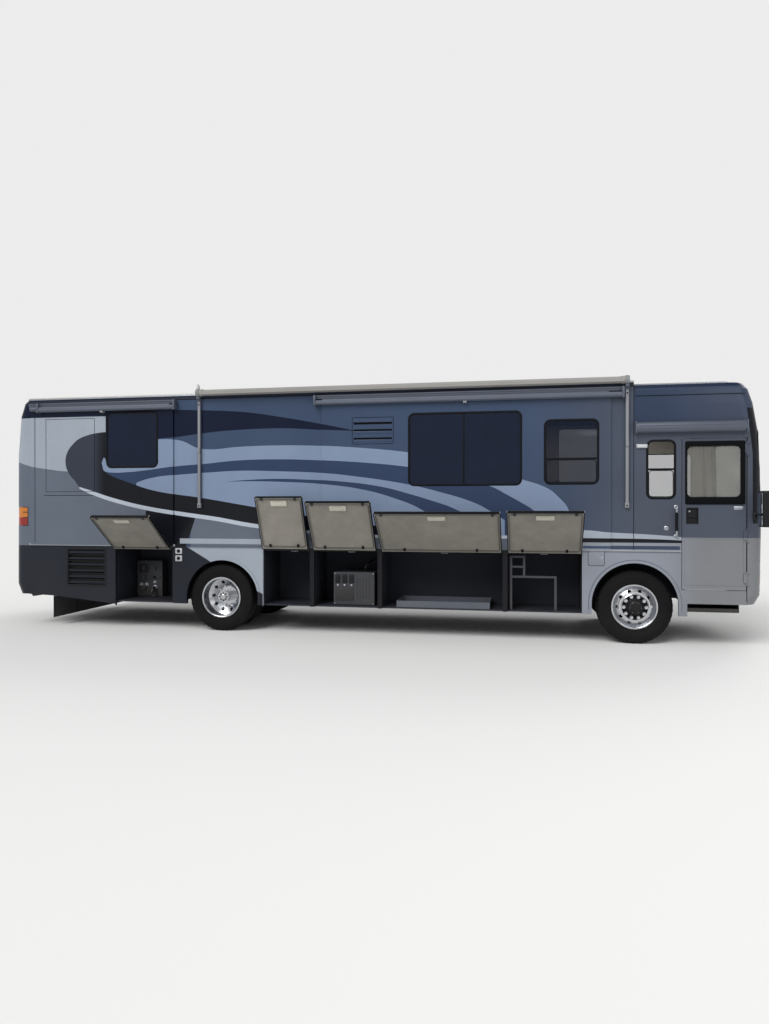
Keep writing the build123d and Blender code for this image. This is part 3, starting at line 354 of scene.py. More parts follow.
FRONT_STRIPE_TOP = [(4.2, 1.432), (4.62, 1.478), (5.05, 1.505), (5.45, 1.477), (5.9, 1.455), (6.365, 1.420)]
FRONT_STRIPE_LOW = [(4.2, 1.392), (5.05, 1.400), (6.365, 1.376)]
CRESCENT_TOP = [(-2.469, 2.50), (-2.375, 2.727), (-2.157, 2.874), (-1.777, 2.935), (-1.2, 2.93)]
CRESCENT_LOW = [(-2.469, 2.50), (-2.444, 2.38), (-2.327, 2.227), (-1.994, 2.089), (-1.60, 1.98), (-1.2, 1.85)]
SILVER_LOW = [(-3.30, 2.511), (-3.06, 2.432), (-2.80, 2.391), (-2.44, 2.349), (-2.0, 2.33)]


def make_livery():
    p = Painter.group("coach_livery")
    # Ground colours from the rear to the nose
    colour = p.fade(p.x, BAYS_FRONT_X, 6.0, SLATE, WARM_GREY, smooth=True)
    colour = p.lay(p.behind(REAR_PAINT_X), colour, MID_GREY)
    across = p.math("SUBTRACT", 1.0, p.math("POWER", p.math("DIVIDE", p.y, HALF_WIDTH), 2.0))
    sag = p.math("MULTIPLY", p.math("MULTIPLY", across, p.behind(-3.25)), 0.17)
    silver = p.both(p.above(p.math("SUBTRACT", p.edge(SILVER_LOW), sag)), p.behind(REAR_PAINT_X),
                    p.below(NAVY_BAND_Z))
    colour = p.lay(silver, colour, SILVER)
    colour = p.lay(p.both(p.above(NAVY_BAND_Z), p.behind(REAR_PAINT_X)), colour, NAVY)
    # A darker strip down the rear cap's joint: painted shade of the soft groove where the cap meets the wall
    groove_shade = p.both(p.ahead(-3.003), p.behind(-2.972), p.above(SILL_Z + 0.04), p.below(NAVY_BAND_Z))
    colour = mix_colour(p.tree, spread(p.tree, groove_shade, 0.0, 1.0, 0.0, 0.45), colour, CHARCOAL)
    # The crescent round the bedroom window, then the sweeps over its open end
    crescent = p.both(p.below(p.edge(CRESCENT_TOP, True)), p.above(p.edge(CRESCENT_LOW, True)), p.ahead(-2.469),
                      p.behind(-1.2))
    fade = p.fade(p.x, -2.05, -1.80, CHARCOAL, NEAR_BLACK, smooth=True)
    colour = p.lay(crescent, colour, fade)
    colour = p.lay(p.band(p.edge(NAVY_LOW), p.edge(NAVY_TOP), -1.80, 2.04), colour, NAVY)
    light_a_low = p.edge(LIGHT_A_LOW)
    black_top = p.edge(BLACK_TOP)
    deep = p.both(p.below(light_a_low), p.above(black_top), p.ahead(-1.81), p.behind(5.0))
    colour = p.lay(deep, colour, DEEP_BLUE)
    colour = p.lay(p.band(light_a_low, p.edge(LIGHT_A_TOP), -1.865, 4.99), colour, LIGHT_BLUE)
    light_c = p.both(p.below(p.edge(LIGHT_C_TOP)), p.above(black_top), p.ahead(-1.30), p.behind(4.1))
    colour = p.lay(light_c, colour, LIGHT_BLUE)
    colour = p.lay(p.band(p.edge(TONGUE_LOW), p.edge(TONGUE_TOP), 0.085, 3.9), colour, DEEP_BLUE)
    stripe = p.edge(STRIPE_MID)
    colour = p.lay(p.both(p.below(black_top), p.above(stripe), p.ahead(-1.81), p.behind(BAYS_FRONT_X)), colour,
                   NEAR_BLACK)
    tip = p.math("GREATER_THAN", p.math("MULTIPLY_ADD", p.z, 0.752, p.x), -0.652)
    foot = p.both(p.above(stripe), p.below(p.edge(CRESCENT_LOW, True)), tip, p.below(2.227), p.behind(-1.80))
    colour = p.lay(foot, colour, fade)
    # Under the white stripe
    half = p.math("MINIMUM", spread(p.tree, p.x, -2.3, -2.05, 0.006, 0.030),
                  spread(p.tree, p.x, -2.05, -1.4, 0.028, 0.036))
    half = p.math("MINIMUM", half, spread(p.tree, p.x, 0.0, 1.2, 0.036, 0.020))
    under = p.both(p.below(stripe), p.above(SILL_Z), p.ahead(-0.45), p.behind(BAYS_FRONT_X))
    colour = p.lay(under, colour, MID_GREY)
    colour = p.lay(p.both(p.below(stripe), p.behind(-1.15), p.ahead(-1.75), p.above(SILL_Z)), colour, MID_GREY)
    slant = p.math("MULTIPLY_ADD", p.math("SUBTRACT", p.z, 1.5), 0.35, -0.43)
    under_dark = p.both(p.below(stripe), p.ahead(-1.15), p.behind(slant), p.above(SILL_Z))
    colour = p.lay(under_dark, colour, NEAR_BLACK)
    colour = p.lay(p.both(p.above(1.275), p.below(1.350), p.ahead(-0.62), p.behind(0.66)), colour, SILVER)
    white = p.both(p.above(p.math("SUBTRACT", stripe, half)), p.below(p.math("ADD", stripe, half)), p.ahead(-2.236),
                   p.behind(BAYS_FRONT_X))
    colour = p.lay(white, colour, STRIPE_WHITE)
    # Ahead of the bays: silver below the belt, a dark line and the stripe's front end
    lower_front = p.fade(p.x, 6.0, 6.7, LOWER_SILVER, NOSE_SILVER, smooth=True)
    colour = p.lay(p.both(p.below(BELT_Z), p.ahead(BAYS_FRONT_X)), colour, lower_front)
    front_low = p.edge(FRONT_STRIPE_LOW)
    colour = p.lay(p.band(1.343, front_low, 5.0, DOOR_REAR_X), colour, NEAR_BLACK)
    colour = p.lay(p.band(front_low, p.edge(FRONT_STRIPE_TOP), BAYS_FRONT_X, DOOR_REAR_X), colour, SILVER)
    # A slate band between the two seams on the silver front panel: painted shade of the recess there
    colour = p.lay(p.band(1.262, 1.297, 5.12, 6.34), colour, SLATE)
    # Below the sill: a dark skirt behind, black posts between the bays, silver ahead
    lower_colour = p.lay(p.ahead(0.66), LOWER_DARK, lower_front)
    sweep = p.math("SUBTRACT", p.x, p.math("MULTIPLY", p.math("SUBTRACT", 1.29, p.z), 1.75))
    lower_colour = p.lay(p.both(p.math("GREATER_THAN", sweep, -0.62), p.behind(0.66)), lower_colour, SILVER)
    lower_colour = p.lay(p.both(p.ahead(1.357), p.behind(4.144), p.right), lower_colour, NEAR_BLACK)
    colour = p.lay(p.below(SILL_Z + 0.004), colour, lower_colour)
    # A shaded line round the front arch's lip
    round_arch = p.both(p.ring(5.780, 0.531, 0.579, 0.589), p.above(0.45), p.below(SILL_Z))
    colour = p.lay(round_arch, colour, MID_GREY)
    # Darker roof edge and cab top, and the black corner beside the windscreen
    colour = p.lay(p.both(p.above(3.385), p.behind(CAP_FRONT_X)), colour, ROOF_EDGE)
    cab_top = p.fade(p.x, 6.0, 6.9, *CAB_TOP, smooth=True)
    colour = p.lay(p.both(p.above(2.92), p.ahead(CAP_FRONT_X)), colour, cab_top)
    colour = p.lay(p.both(p.above(3.36), p.ahead(CAP_FRONT_X)), colour, ROOF_EDGE)
    lean = p.math("MULTIPLY", p.math("MAXIMUM", p.math("SUBTRACT", p.z, 2.5), 0.0), 0.12)
    screen_top = spread(p.tree, p.y, 0.70, 1.20, 2.87, 3.08, True)
    corner = p.both(p.math("GREATER_THAN", p.math("ADD", p.x, lean), 7.215), p.above(1.60), p.below(screen_top))
    colour = p.lay(corner, colour, NEAR_BLACK)
    # Faces inside the body: cream above the floor, dark below it
    facing = p.facing()
    within = p.both(p.math("LESS_THAN", p.y, INSIDE_Y), p.ahead(INSIDE_X[0]), p.behind(INSIDE_X[1]))
    nose_back = p.both(p.ahead(INSIDE_X[1]), p.math("LESS_THAN", facing["X"], -0.3))
    tail_back = p.both(p.behind(INSIDE_X[0]), p.math("GREATER_THAN", facing["X"], 0.3))
    within = p.math("MAXIMUM", within, p.math("MAXIMUM", nose_back, tail_back))
    within = p.both(within, p.below(3.15))
    colour = p.lay(within, colour, p.lay(p.above(SILL_Z + 0.02), INSIDE_DARK, INSIDE_CREAM))
    return p.end(colour)


LIVERY = make_livery()
body_paint = finish_material("coach_paint", None, 0.30, 0.05, 0.02, 0.05, coat=0.10, shine=0.18, colour_group=LIVERY)


def make_door_paint():
    """A bay door's outer skin is silver paint, dark on the rearmost; its inner face is bare beige-grey panel."""
    p = Painter.group("bay_door_faces")
    facing = p.facing()
    up = p.math("ADD", p.math("MULTIPLY", facing["Y"], 0.75), p.math("MULTIPLY", facing["Z"], 0.65))
    outer = p.math("GREATER_THAN", up, 0.8)
    inner = p.fade(noise(p.tree, p.place, 5.0, 5.0, 0.6), 0.35, 0.7, rgb(138, 134, 126), rgb(124, 121, 114))
    colour = p.lay(outer, inner, p.lay(p.behind(-0.3), LOWER_SILVER, LOWER_DARK))
    return p.end(colour)


door_inner_paint = finish_material("bay_door_panel", None, 0.5, 0.15, 0.10, 0.1, colour_group=make_door_paint())


def make_roof_paint():
    """White membrane on top, dark paint down the roof's edge and cream below."""
    p = Painter.group("roof_faces")
    facing = p.facing()
    colour = p.lay(p.math("GREATER_THAN", facing["Z"], 0.5), ROOF_EDGE, rgb(205, 203, 196))
    colour = p.lay(p.math("LESS_THAN", facing["Z"], -0.5), colour, INSIDE_CREAM)
    return p.end(colour)


# Finishes: name, colour, gloss, dust, grain, bump
roof_skin = finish_material("roof_membrane", None, 0.55, 0.25, 0.3, 0.3, colour_group=make_roof_paint())
roof_fitting = finish_material("roof_fitting", rgb(205, 203, 196), 0.5, 0.25, 0.2, 0.2)
black_trim = finish_material("black_trim", rgb(15, 16, 21), 0.45, 0.06, 0.2, 0.15, shine=0.25)
black_rubber = finish_material("black_rubber", rgb(9, 11, 17), 0.65, 0.03, 0.4, 0.3, shine=0.15)
tyre_rubber = finish_material("tyre_rubber", rgb(10, 11, 15), 0.75, 0.06, 0.5, 0.4, shine=0.15)
door_seal = finish_material("door_seal", rgb(88, 86, 82), 0.7, 0.1, 0.4, 0.3)
arm_paint = finish_material("awning_arm_paint", rgb(128, 130, 134), 0.6, 0.1, 0.2, 0.1)
steel_black = finish_material("chassis_black", rgb(24, 25, 28), 0.6, 0.3, 0.6, 0.4)
cast_metal = finish_material("cast_iron", rgb(52, 50, 48), 0.65, 0.5, 0.9, 0.6, metallic=0.6)
bay_lining = finish_material("bay_lining", rgb(30, 34, 45), 0.75, 0.08, 0.9, 0.6)
aluminium = finish_material("bright_aluminium", rgb(202, 204, 208), 0.22, 0.08, 0.15, 0.08, metallic=1.0)
anodised = finish_material("anodised_trim", rgb(166, 170, 177), 0.38, 0.12, 0.15, 0.08, metallic=0.8)
awning_case = finish_material("awning_case", rgb(84, 90, 103), 0.5, 0.12, 0.2, 0.1, metallic=0.2)
light_plastic = finish_material("light_plastic", rgb(186, 188, 190), 0.45, 0.1, 0.1, 0.1)


def make_shaded_gear_paint():
    """What stands in the bays: a beige service panel, a grey case, a pale tray and a steel bracket, each coloured
    well darker than its own colour as painted shade inside the bays.
    """
    p = Painter.group("bay_gear_shaded")
    colour = p.lay(p.ahead(1.0), rgb(60, 62, 66), rgb(52, 55, 61))
    colour = p.lay(p.ahead(2.5), colour, rgb(84, 90, 101))
    colour = p.lay(p.ahead(4.1), colour, rgb(64, 66, 72))
    return p.end(colour)


bay_gear_shaded = finish_material("bay_gear_shaded", None, 0.5, 0.2, 0.3, 0.2, metallic=0.2, colour_group=make_shaded_gear_paint())


def make_floor_paint():
    """Warm covering on top of the deck; its edges and underside are dark board."""
    p = Painter.group("floor_faces")
    facing = p.facing()
    colour = p.lay(p.math("GREATER_THAN", facing["Z"], 0.5), INSIDE_DARK, rgb(150, 132, 108))
    return p.end(colour)


floor_covering = finish_material("floor_covering", None, 0.6, 0.1, 0.6, 0.3, colour_group=make_floor_paint())
latch_plastic = finish_material("latch_plastic", rgb(188, 184, 172), 0.5, 0.1, 0.1, 0.1)
awning_sleeve = finish_material("awning_sleeve", rgb(146, 144, 141), 0.7, 0.15, 0.5, 0.3)
deep_black = finish_material("deep_black", rgb(8, 9, 13), 0.8, 0.03, 0.3, 0.2, shine=0.1)
awning_fabric = finish_material("awning_fabric", rgb(92, 99, 112), 0.8, 0.15, 0.7, 0.4)
dark_metal = finish_material("dark_metal", rgb(60, 60, 62), 0.45, 0.2, 0.4, 0.2, metallic=0.8)
seat_leather = finish_material("seat_leather", rgb(128, 108, 84), 0.5, 0.1, 0.9, 0.5)
reflector = finish_material("lamp_reflector", rgb(215, 218, 222), 0.12, 0.02, 0.05, 0.02, metallic=1.0)
mirror_glass = finish_material("mirror_glass", rgb(205, 210, 216), 0.03, 0.02, 0.0, 0.0, metallic=1.0)


def glass_material(name, colour, alpha, roughness=0.04, shine=0.4):
    """Glass or lens with faint smears; alpha may be a list of ((x0, x1), alpha) along the body."""
    material, tree, shader = blank_material(name)
    place = tree.nodes.new("ShaderNodeTexCoord").outputs["Object"]
    smears = noise(tree, place, 3.0, 5.0, 0.6)
    tint = mix_colour(tree, spread(tree, smears, 0.35, 0.7, 0.0, 1.0), colour,
                      tuple(min(1, c * 1.35) for c in colour[:3]) + (1,))
    tree.links.new(tint, shader.inputs["Base Color"])
    tree.links.new(spread(tree, smears, 0.4, 0.75, roughness, roughness + 0.08), shader.inputs["Roughness"])
    if isinstance(alpha, list):
        p = Painter(tree, place)
        cover = alpha[0]
        for (x0, x1), value in alpha[1:]:
            inside = p.both(p.ahead(x0), p.behind(x1))
            cover = spread(tree, inside, 0.0, 1.0, cover, value)
        tree.links.new(cover, shader.inputs["Alpha"])
    else:
        shader.inputs["Alpha"].default_value = alpha
    shader.inputs["IOR"].default_value = 1.5
    shader.inputs["Specular IOR Level"].default_value = shine
    return material


amber_lens = glass_material("amber_lens", rgb(214, 130, 40), 0.86, 0.12)
red_lens = glass_material("red_lens", rgb(150, 22, 20), 0.88, 0.12)
clear_lens = glass_material("clear_lens", rgb(214, 220, 226), 0.35, 0.05)
dark_glass = glass_material("tinted_window", rgb(7, 19, 40), [0.95, ((4.5, 5.6), 0.52), ((5.9, 7.2), 0.16)])
clear_glass = glass_material("clear_window", rgb(112, 112, 108), 0.50, 0.10)
screen_glass = glass_material("windscreen_glass", rgb(36, 44, 52), 0.42)


def make_lens_colours():
    """Red and amber lenses behind, clear ones ahead."""
    p = Painter.group("lens_colours")
    tail = p.lay(p.above(1.652), rgb(134, 26, 20), rgb(190, 112, 38))
    colour = p.lay(p.ahead(0.0), tail, rgb(188, 192, 196))
    return p.end(colour)


lamp_lens = finish_material("lamp_lens", None, 0.16, 0.05, 0.0, 0.0, coat=0.5, colour_group=make_lens_colours())


def dress(material, *names):
    for name in names:
        for slot in nodes[name].material_slots:
            slot.material = material


SIDES = (("left", 1), ("right", -1))
RIGHT_DOORS = [f"right_bay_door_{n}" for n in range(1, 6)]
LEFT_DOORS = [f"left_bay_door_{n}" for n in range(1, 5)]
dress(body_paint, "right_wall", "left_wall", "front_cap", "rear_cap", "right_slide_rooms", "left_slide_room",
      "right_lower_panels", "left_lower_panels", "entry_door", "engine_hatch", *LEFT_DOORS)
dress(door_inner_paint, *RIGHT_DOORS)
dress(roof_skin, "roof")
dress(roof_fitting, "roof_vents")
dress(dark_glass, "side_windows", "left_slide_windows")
dress(clear_glass, "entry_door_window")
dress(screen_glass, "windscreen")
dress(steel_black, "chassis_frame", "entry_step", "tow_receiver")
dress(cast_metal, "engine", "front_axle", "rear_axle", "knuckle_left", "knuckle_right")
dress(bay_lining, "storage_bays", "wheel_wells")
dress(black_trim, "tanks", "mirrors", "dashboard")
dress(aluminium, "front_wheel_left", "front_wheel_right", "rear_wheels_left", "rear_wheels_right")
dress(steel_black, "radiator")
dress(awning_case, "awnings")
dress(bay_gear_shaded, "bay_fittings")
dress(tyre_rubber, "front_tyre_left", "front_tyre_right", "rear_tyres_left", "rear_tyres_right")
dress(floor_covering, "floor_deck")
dress(seat_leather, "cab_seats")
dress(lamp_lens, "lamps")


def add_object(name, data):
    made = bpy.data.objects.new(name, data)
    bpy.context.collection.objects.link(made)
    return made


# Mesh helpers

def rounded(x0, x1, z0, z1, radius, steps=6):
    """Points round a rectangle with round corners, as (x, z)."""
    points = []
    corners = ((x1 - radius, z1 - radius), (x0 + radius, z1 - radius), (x0 + radius, z0 + radius),
               (x1 - radius, z0 + radius))
    for quarter, (cx, cz) in enumerate(corners):
        for k in range(steps + 1):
            angle = math.radians(90 * (quarter + k / steps))
            points.append((cx + radius * math.cos(angle), cz + radius * math.sin(angle)))
    return points


def grown(window, out, radius, steps=6):
    """Points round a rectangle that is made larger by this much on every side."""
    x0, x1, z0, z1 = window
    return rounded(x0 - out, x1 + out, z0 - out, z1 + out, radius, steps)


class Piece:
    """One piece of the vehicle, gathered shape by shape and then set on its body."""

    def __init__(self, name, *materials):
        self.name = name
        self.materials = materials
        self.mesh = bmesh.new()
        self.finish = 0

    def use(self, index):
        """Shapes added from here on take this one of the piece's materials."""
        self.finish = index
        return self

    def face(self, corners):
        made = self.mesh.faces.new(corners)
        made.material_index = self.finish
        return made

    def loop(self, points):
        return [self.mesh.verts.new(at(*point)) for point in points]

    def bridge(self, first, second, closed=True):
        count = len(first)
        for k in range(count if closed else count - 1):
            after = (k + 1) % count
            self.face((first[k], first[after], second[after], second[k]))

    def skin(self, loops, capped=True):
        """A closed shell through loops of equally many points."""
        rings = [self.loop(points) for points in loops]
        for first, second in zip(rings, rings[1:]):
            self.bridge(first, second)
        if capped:
            self.face(rings[0])
            self.face(rings[-1])
        else:
            self.bridge(rings[-1], rings[0])
        return self

    def block(self, x0, x1, y0, y1, z0, z1, bevel=0.002, turn=None, segments=2):
        """A beveled block; turn is a rotation about its own middle."""
        middle = at((x0 + x1) / 2, (y0 + y1) / 2, (z0 + z1) / 2)
        size = Matrix.Diagonal((abs(x1 - x0), abs(y1 - y0), abs(z1 - z0), 1))
        place = Matrix.Translation(middle) @ (turn or Matrix.Identity(4)) @ size
        made = bmesh.ops.create_cube(self.mesh, size=1.0, matrix=place)
        edges = list({edge for vert in made["verts"] for edge in vert.link_edges})
        faces = {face for vert in made["verts"] for face in vert.link_faces}
        for face in faces:
            face.material_index = self.finish
        if bevel:
            bmesh.ops.bevel(self.mesh, geom=edges, offset=bevel, segments=segments, profile=0.6, affect="EDGES",
                            material=self.finish)
        return self

    def lathe(self, centre, axis, profile, steps=32, ring=False):
        """A profile of (along, radius) turned about an axis through the centre; ring joins its ends."""
        x, y, z = centre
        loops = []
        for along, radius in profile:
            turned = []
            for k in range(steps):
                angle = 2 * math.pi * k / steps
                u, v = radius * math.cos(angle), radius * math.sin(angle)
                if axis == "x":
                    turned.append((x + along, y + u, z + v))
                elif axis == "y":
                    turned.append((x + u, y + along, z + v))
                else:
                    turned.append((x + u, y + v, z + along))
            loops.append(turned)
        return self.skin(loops, capped=not ring)

    def tube(self, path, radius, sides=10, flat=1.0):
        """A closed pipe along a path of points; flat squeezes it across."""
        path = [Vector(point) for point in path]
        loops = []
        for k, point in enumerate(path):
            before, after = path[max(k - 1, 0)], path[min(k + 1, len(path) - 1)]
            ahead = (after - before).normalized()
            aside = ahead.cross(Vector((0, 0, 1)))
            if aside.length < 0.05:
                aside = ahead.cross(Vector((0, 1, 0)))
            aside.normalize()
            up = aside.cross(ahead)
            ring = []
            for s in range(sides):
                angle = 2 * math.pi * s / sides
                ring.append(point + radius * (aside * math.cos(angle) + up * math.sin(angle) * flat))
            loops.append(ring)
        return self.skin(loops)

    def plate(self, outline, y0, y1, edge=0.002):
        """A plate standing along the side, from an outline of (x, z), with eased outer edges."""
        outer = max(y0, y1, key=abs)
        inner = y0 if outer == y1 else y1
        towards = math.copysign(edge, inner - outer)
        cx = sum(x for x, _ in outline) / len(outline)
        cz = sum(z for _, z in outline) / len(outline)
        eased = [(x - math.copysign(min(edge, abs(x - cx)), x - cx),
                  z - math.copysign(min(edge, abs(z - cz)), z - cz))
                 for x, z in outline]
        loops = [[(x, inner, z) for x, z in outline], [(x, outer + towards, z) for x, z in outline],
                 [(x, outer, z) for x, z in eased]]
        return self.skin(loops)

    def surround(self, window, y, side, profile, radius, steps=6):
        """A moulding round a window: profile is (outwards from the edge, proud of the face)."""
        return self.skin([[(x, y + side * proud, z) for x, z in grown(window, out, max(radius + out, 0.004), steps)]
                          for out, proud in profile], capped=False)

    def order(self):
        """Puts vertices and faces in order of place: a bevel's own order varies from run to run."""
        for elements, place in ((self.mesh.verts, lambda vert: vert.co),
                                (self.mesh.faces, lambda face: face.calc_center_median())):
            ranked = sorted(elements, key=lambda element: tuple(round(part, 6) for part in place(element)))
            rank = {element: number for number, element in enumerate(ranked)}
            elements.sort(key=lambda element: rank[element])

    def done(self, body=ROOT, slot=None, replaces=(), smooth=40):
        bmesh.ops.remove_doubles(self.mesh, verts=self.mesh.verts, dist=1e-6)
        bmesh.ops.recalc_face_normals(self.mesh, faces=self.mesh.faces)
        self.order()
        data = bpy.data.meshes.new(self.name)
        self.mesh.to_mesh(data)
        self.mesh.free()
        return settle(self.name, data, self.materials, body, replaces, smooth)


def settle(name, data, materials, body, replaces=(), smooth=40):
    """Turns finished mesh data into a piece that rides on a body."""
    for material in materials:
        data.materials.append(material)
    data.shade_smooth()
    data.set_sharp_from_angle(angle=math.radians(smooth))
    piece = add_object(name, data)
    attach(piece, body)
    if replaces:
        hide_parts(*replaces)
    return piece


# Geometry Nodes for what repeats

class Tree:
    """A geometry tree with named inputs, whose result becomes a plain mesh."""

    def __init__(self, name, inputs):
        self.tree = bpy.data.node_groups.new(name, "GeometryNodeTree")
        for label, kind in inputs:
            self.tree.interface.new_socket(label, in_out="INPUT", socket_type=kind)
        self.tree.interface.new_socket("Geometry", in_out="OUTPUT", socket_type="NodeSocketGeometry")
        self.given = self.tree.nodes.new("NodeGroupInput").outputs
        self.out = self.tree.nodes.new("NodeGroupOutput").inputs

    def node(self, kind, **sockets):
        made = self.tree.nodes.new(kind)
        for label, value in sockets.items():
            socket = made.inputs[label.replace("_", " ")]
            if isinstance(value, bpy.types.NodeSocket):
                self.tree.links.new(value, socket)
            else:
                socket.default_value = value
        return made

    def times(self, value, factor):
        made = self.node("ShaderNodeMath", Value=value)
        made.operation = "MULTIPLY"
        made.inputs[1].default_value = factor
        return made.outputs[0]

    def end(self, geometry, material):
        real = self.node("GeometryNodeRealizeInstances", Geometry=geometry)
        dressed = self.node("GeometryNodeSetMaterial", Geometry=real.outputs[0], Material=material)
        self.tree.links.new(dressed.outputs[0], self.out[0])
        return self

    def grow(self, values):
        host = add_object("host", bpy.data.meshes.new("host"))
        modifier = host.modifiers.new(self.tree.name, "NODES")
        modifier.node_group = self.tree
        for item in self.tree.interface.items_tree:
            if item.item_type == "SOCKET" and item.in_out == "INPUT":
                modifier[item.identifier] = values[item.name]
        bpy.context.view_layer.update()
        graph = bpy.context.evaluated_depsgraph_get()
        data = bpy.data.meshes.new_from_object(host.evaluated_get(graph))
        host.modifiers.remove(modifier)
        bpy.data.objects.remove(host)
        return data


def make_nut_ring():
    """Flanged hexagon nuts with their stud ends, round a bolt circle that faces +Y or -Y."""
    t = Tree("nut_ring", [("Count", "NodeSocketInt"), ("Circle", "NodeSocketFloat"), ("Nut", "NodeSocketFloat"),
                          ("Height", "NodeSocketFloat"), ("Place", "NodeSocketVector"), ("Turn", "NodeSocketVector"),
                          ("Finish", "NodeSocketMaterial")])
    g = t.given
    nut = t.node("GeometryNodeMeshCylinder", Vertices=6, Radius=g["Nut"], Depth=g["Height"])
    flange = t.node("GeometryNodeMeshCylinder", Vertices=14, Radius=t.times(g["Nut"], 1.22),
                    Depth=t.times(g["Height"], 0.28))
    stud = t.node("GeometryNodeMeshCylinder", Vertices=12, Radius=t.times(g["Nut"], 0.62),
                  Depth=t.times(g["Height"], 1.7))
    lift = t.node("ShaderNodeCombineXYZ", Z=t.times(g["Height"], 0.5))
    parts = t.node("GeometryNodeJoinGeometry")
    for cylinder in (nut, stud):
        raised = t.node("GeometryNodeTransform", Geometry=cylinder.outputs["Mesh"], Translation=lift.outputs[0])
        t.tree.links.new(raised.outputs[0], parts.inputs[0])
    t.tree.links.new(flange.outputs["Mesh"], parts.inputs[0])
    ring = t.node("GeometryNodeMeshCircle", Vertices=g["Count"], Radius=g["Circle"])
    nuts = t.node("GeometryNodeInstanceOnPoints", Points=ring.outputs[0], Instance=parts.outputs[0])
    placed = t.node("GeometryNodeTransform", Geometry=nuts.outputs[0], Translation=g["Place"], Rotation=g["Turn"])
    return t.end(placed.outputs[0], g["Finish"])


def make_louvres():
    """Slats of a box section, stacked upwards and tilted."""
    t = Tree("louvres", [("Count", "NodeSocketInt"), ("Start", "NodeSocketVector"), ("Pitch", "NodeSocketFloat"),
                         ("Length", "NodeSocketFloat"), ("Depth", "NodeSocketFloat"),
                         ("Thickness", "NodeSocketFloat"), ("Tilt", "NodeSocketVector"),
                         ("Finish", "NodeSocketMaterial")])
    g = t.given
    rise = t.node("ShaderNodeCombineXYZ", Z=g["Pitch"])
    line = t.node("GeometryNodeMeshLine", Count=g["Count"], Start_Location=g["Start"])
    line.mode = "OFFSET"
    t.tree.links.new(rise.outputs[0], line.inputs["Offset"])
    size = t.node("ShaderNodeCombineXYZ", X=g["Length"], Y=g["Depth"], Z=g["Thickness"])
    slat = t.node("GeometryNodeMeshCube", Size=size.outputs[0])
    row = t.node("GeometryNodeInstanceOnPoints", Points=line.outputs[0], Instance=slat.outputs["Mesh"],
                 Rotation=g["Tilt"])
    return t.end(row.outputs[0], g["Finish"])


NUT_RING = make_nut_ring()
LOUVRES = make_louvres()
QUARTER = math.radians(90)


def nuts(name, body, x, y, z, side, count, circle, nut, height, material):
    turn = (-side * QUARTER, 0, 0)
    data = NUT_RING.grow({"Count": count, "Circle": circle, "Nut": nut, "Height": height, "Place": at(x, y, z),
                          "Turn": turn, "Finish": material})
    return settle(name, data, (), body, smooth=30)


def louvres(name, body, start, count, pitch, length, depth, thickness, tilt, material):
    data = LOUVRES.grow({"Count": count, "Start": at(*start), "Pitch": pitch, "Length": length, "Depth": depth,
                         "Thickness": thickness, "Tilt": tilt, "Finish": material})
    return settle(name, data, (), body, smooth=30)


# Windows: rear edge, front edge, lower edge, upper edge
BEDROOM_WINDOW = (-1.776, -0.967, 2.408, 3.217)
BIG_WINDOW = (2.797, 4.313, 2.115, 3.091)
MID_WINDOW = (4.631, 5.311, 2.123, 2.962)
NARROW_WINDOW = (5.935, 6.274, 1.926, 2.670)
DOOR_WINDOW = (6.415, 7.075, 1.930, 2.600)
DRIVER_WINDOW = (6.230, 6.980, 1.926, 2.670)
LEFT_WINDOWS = [(-1.670, -0.870, 2.400, 3.050), (4.890, 5.590, 2.190, 3.110)]
LEFT_ROOM_WINDOWS = [(1.830, 2.730, 2.300, 2.950), (3.280, 4.430, 2.150, 3.050)]
WINDOW_R = 0.07
GASKET = [(-0.012, -0.012), (-0.013, 0.004), (-0.004, 0.008), (0.010, 0.007), (0.017, 0.001), (0.014, -0.004)]


def window_gasket(name, window, side, face, body=ROOT, upright=None, level=None):
    """Rubber round a window, with its sash bars."""
    x0, x1, z0, z1 = window
    y = side * face
    piece = Piece(name, black_rubber)
    piece.surround(window, y, side, GASKET, WINDOW_R)
    y0, y1 = y - side * 0.014, y + side * 0.001
    if upright is not None:
        piece.block(upright - 0.012, upright + 0.012, y0, y1, z0 + 0.004, z1 - 0.004, 0.003)
    if level is not None:
        piece.block(x0 + 0.004, x1 - 0.004, y0, y1, level - 0.013, level + 0.013, 0.003)
        # The sliding sash below the bar has its own slim frame
        sash = (x0 + 0.014, x1 - 0.014, z0 + 0.014, level - 0.012)
        piece.surround(sash, y - side * 0.010, side, [(-0.010, 0.0), (-0.010, 0.005), (0.0, 0.005), (0.0, 0.0)],
                       0.045)
    return piece.done(body)


def build_windows():
    room = HALF_WIDTH + ROOM_PROUD
    window_gasket("bedroom_window_gasket", BEDROOM_WINDOW, -1, room)
    window_gasket("lounge_window_gasket", BIG_WINDOW, -1, room, upright=3.548)
    window_gasket("galley_window_gasket", MID_WINDOW, -1, room, level=2.452)
    window_gasket("cab_window_gasket", NARROW_WINDOW, -1, HALF_WIDTH, level=2.301)
    window_gasket("driver_window_gasket", DRIVER_WINDOW, 1, HALF_WIDTH, upright=6.86)
    for number, window in enumerate(LEFT_WINDOWS, 1):
        window_gasket(f"left_window_gasket_{number}", window, 1, HALF_WIDTH, level=2.55 if number == 1 else None)
    for number, window in enumerate(LEFT_ROOM_WINDOWS, 1):
        window_gasket(f"left_room_window_gasket_{number}", window, 1, room, LEFT_ROOM,
                      upright=(window[0] + window[1]) / 2)


# Entry door furniture
DOOR = (DOOR_REAR_X, 7.137, 0.745, 2.692)
DOOR_FRAME = (6.401, 7.122, 1.844, 2.656)
HANDLE = (6.421, 6.555, 1.600, 1.795)


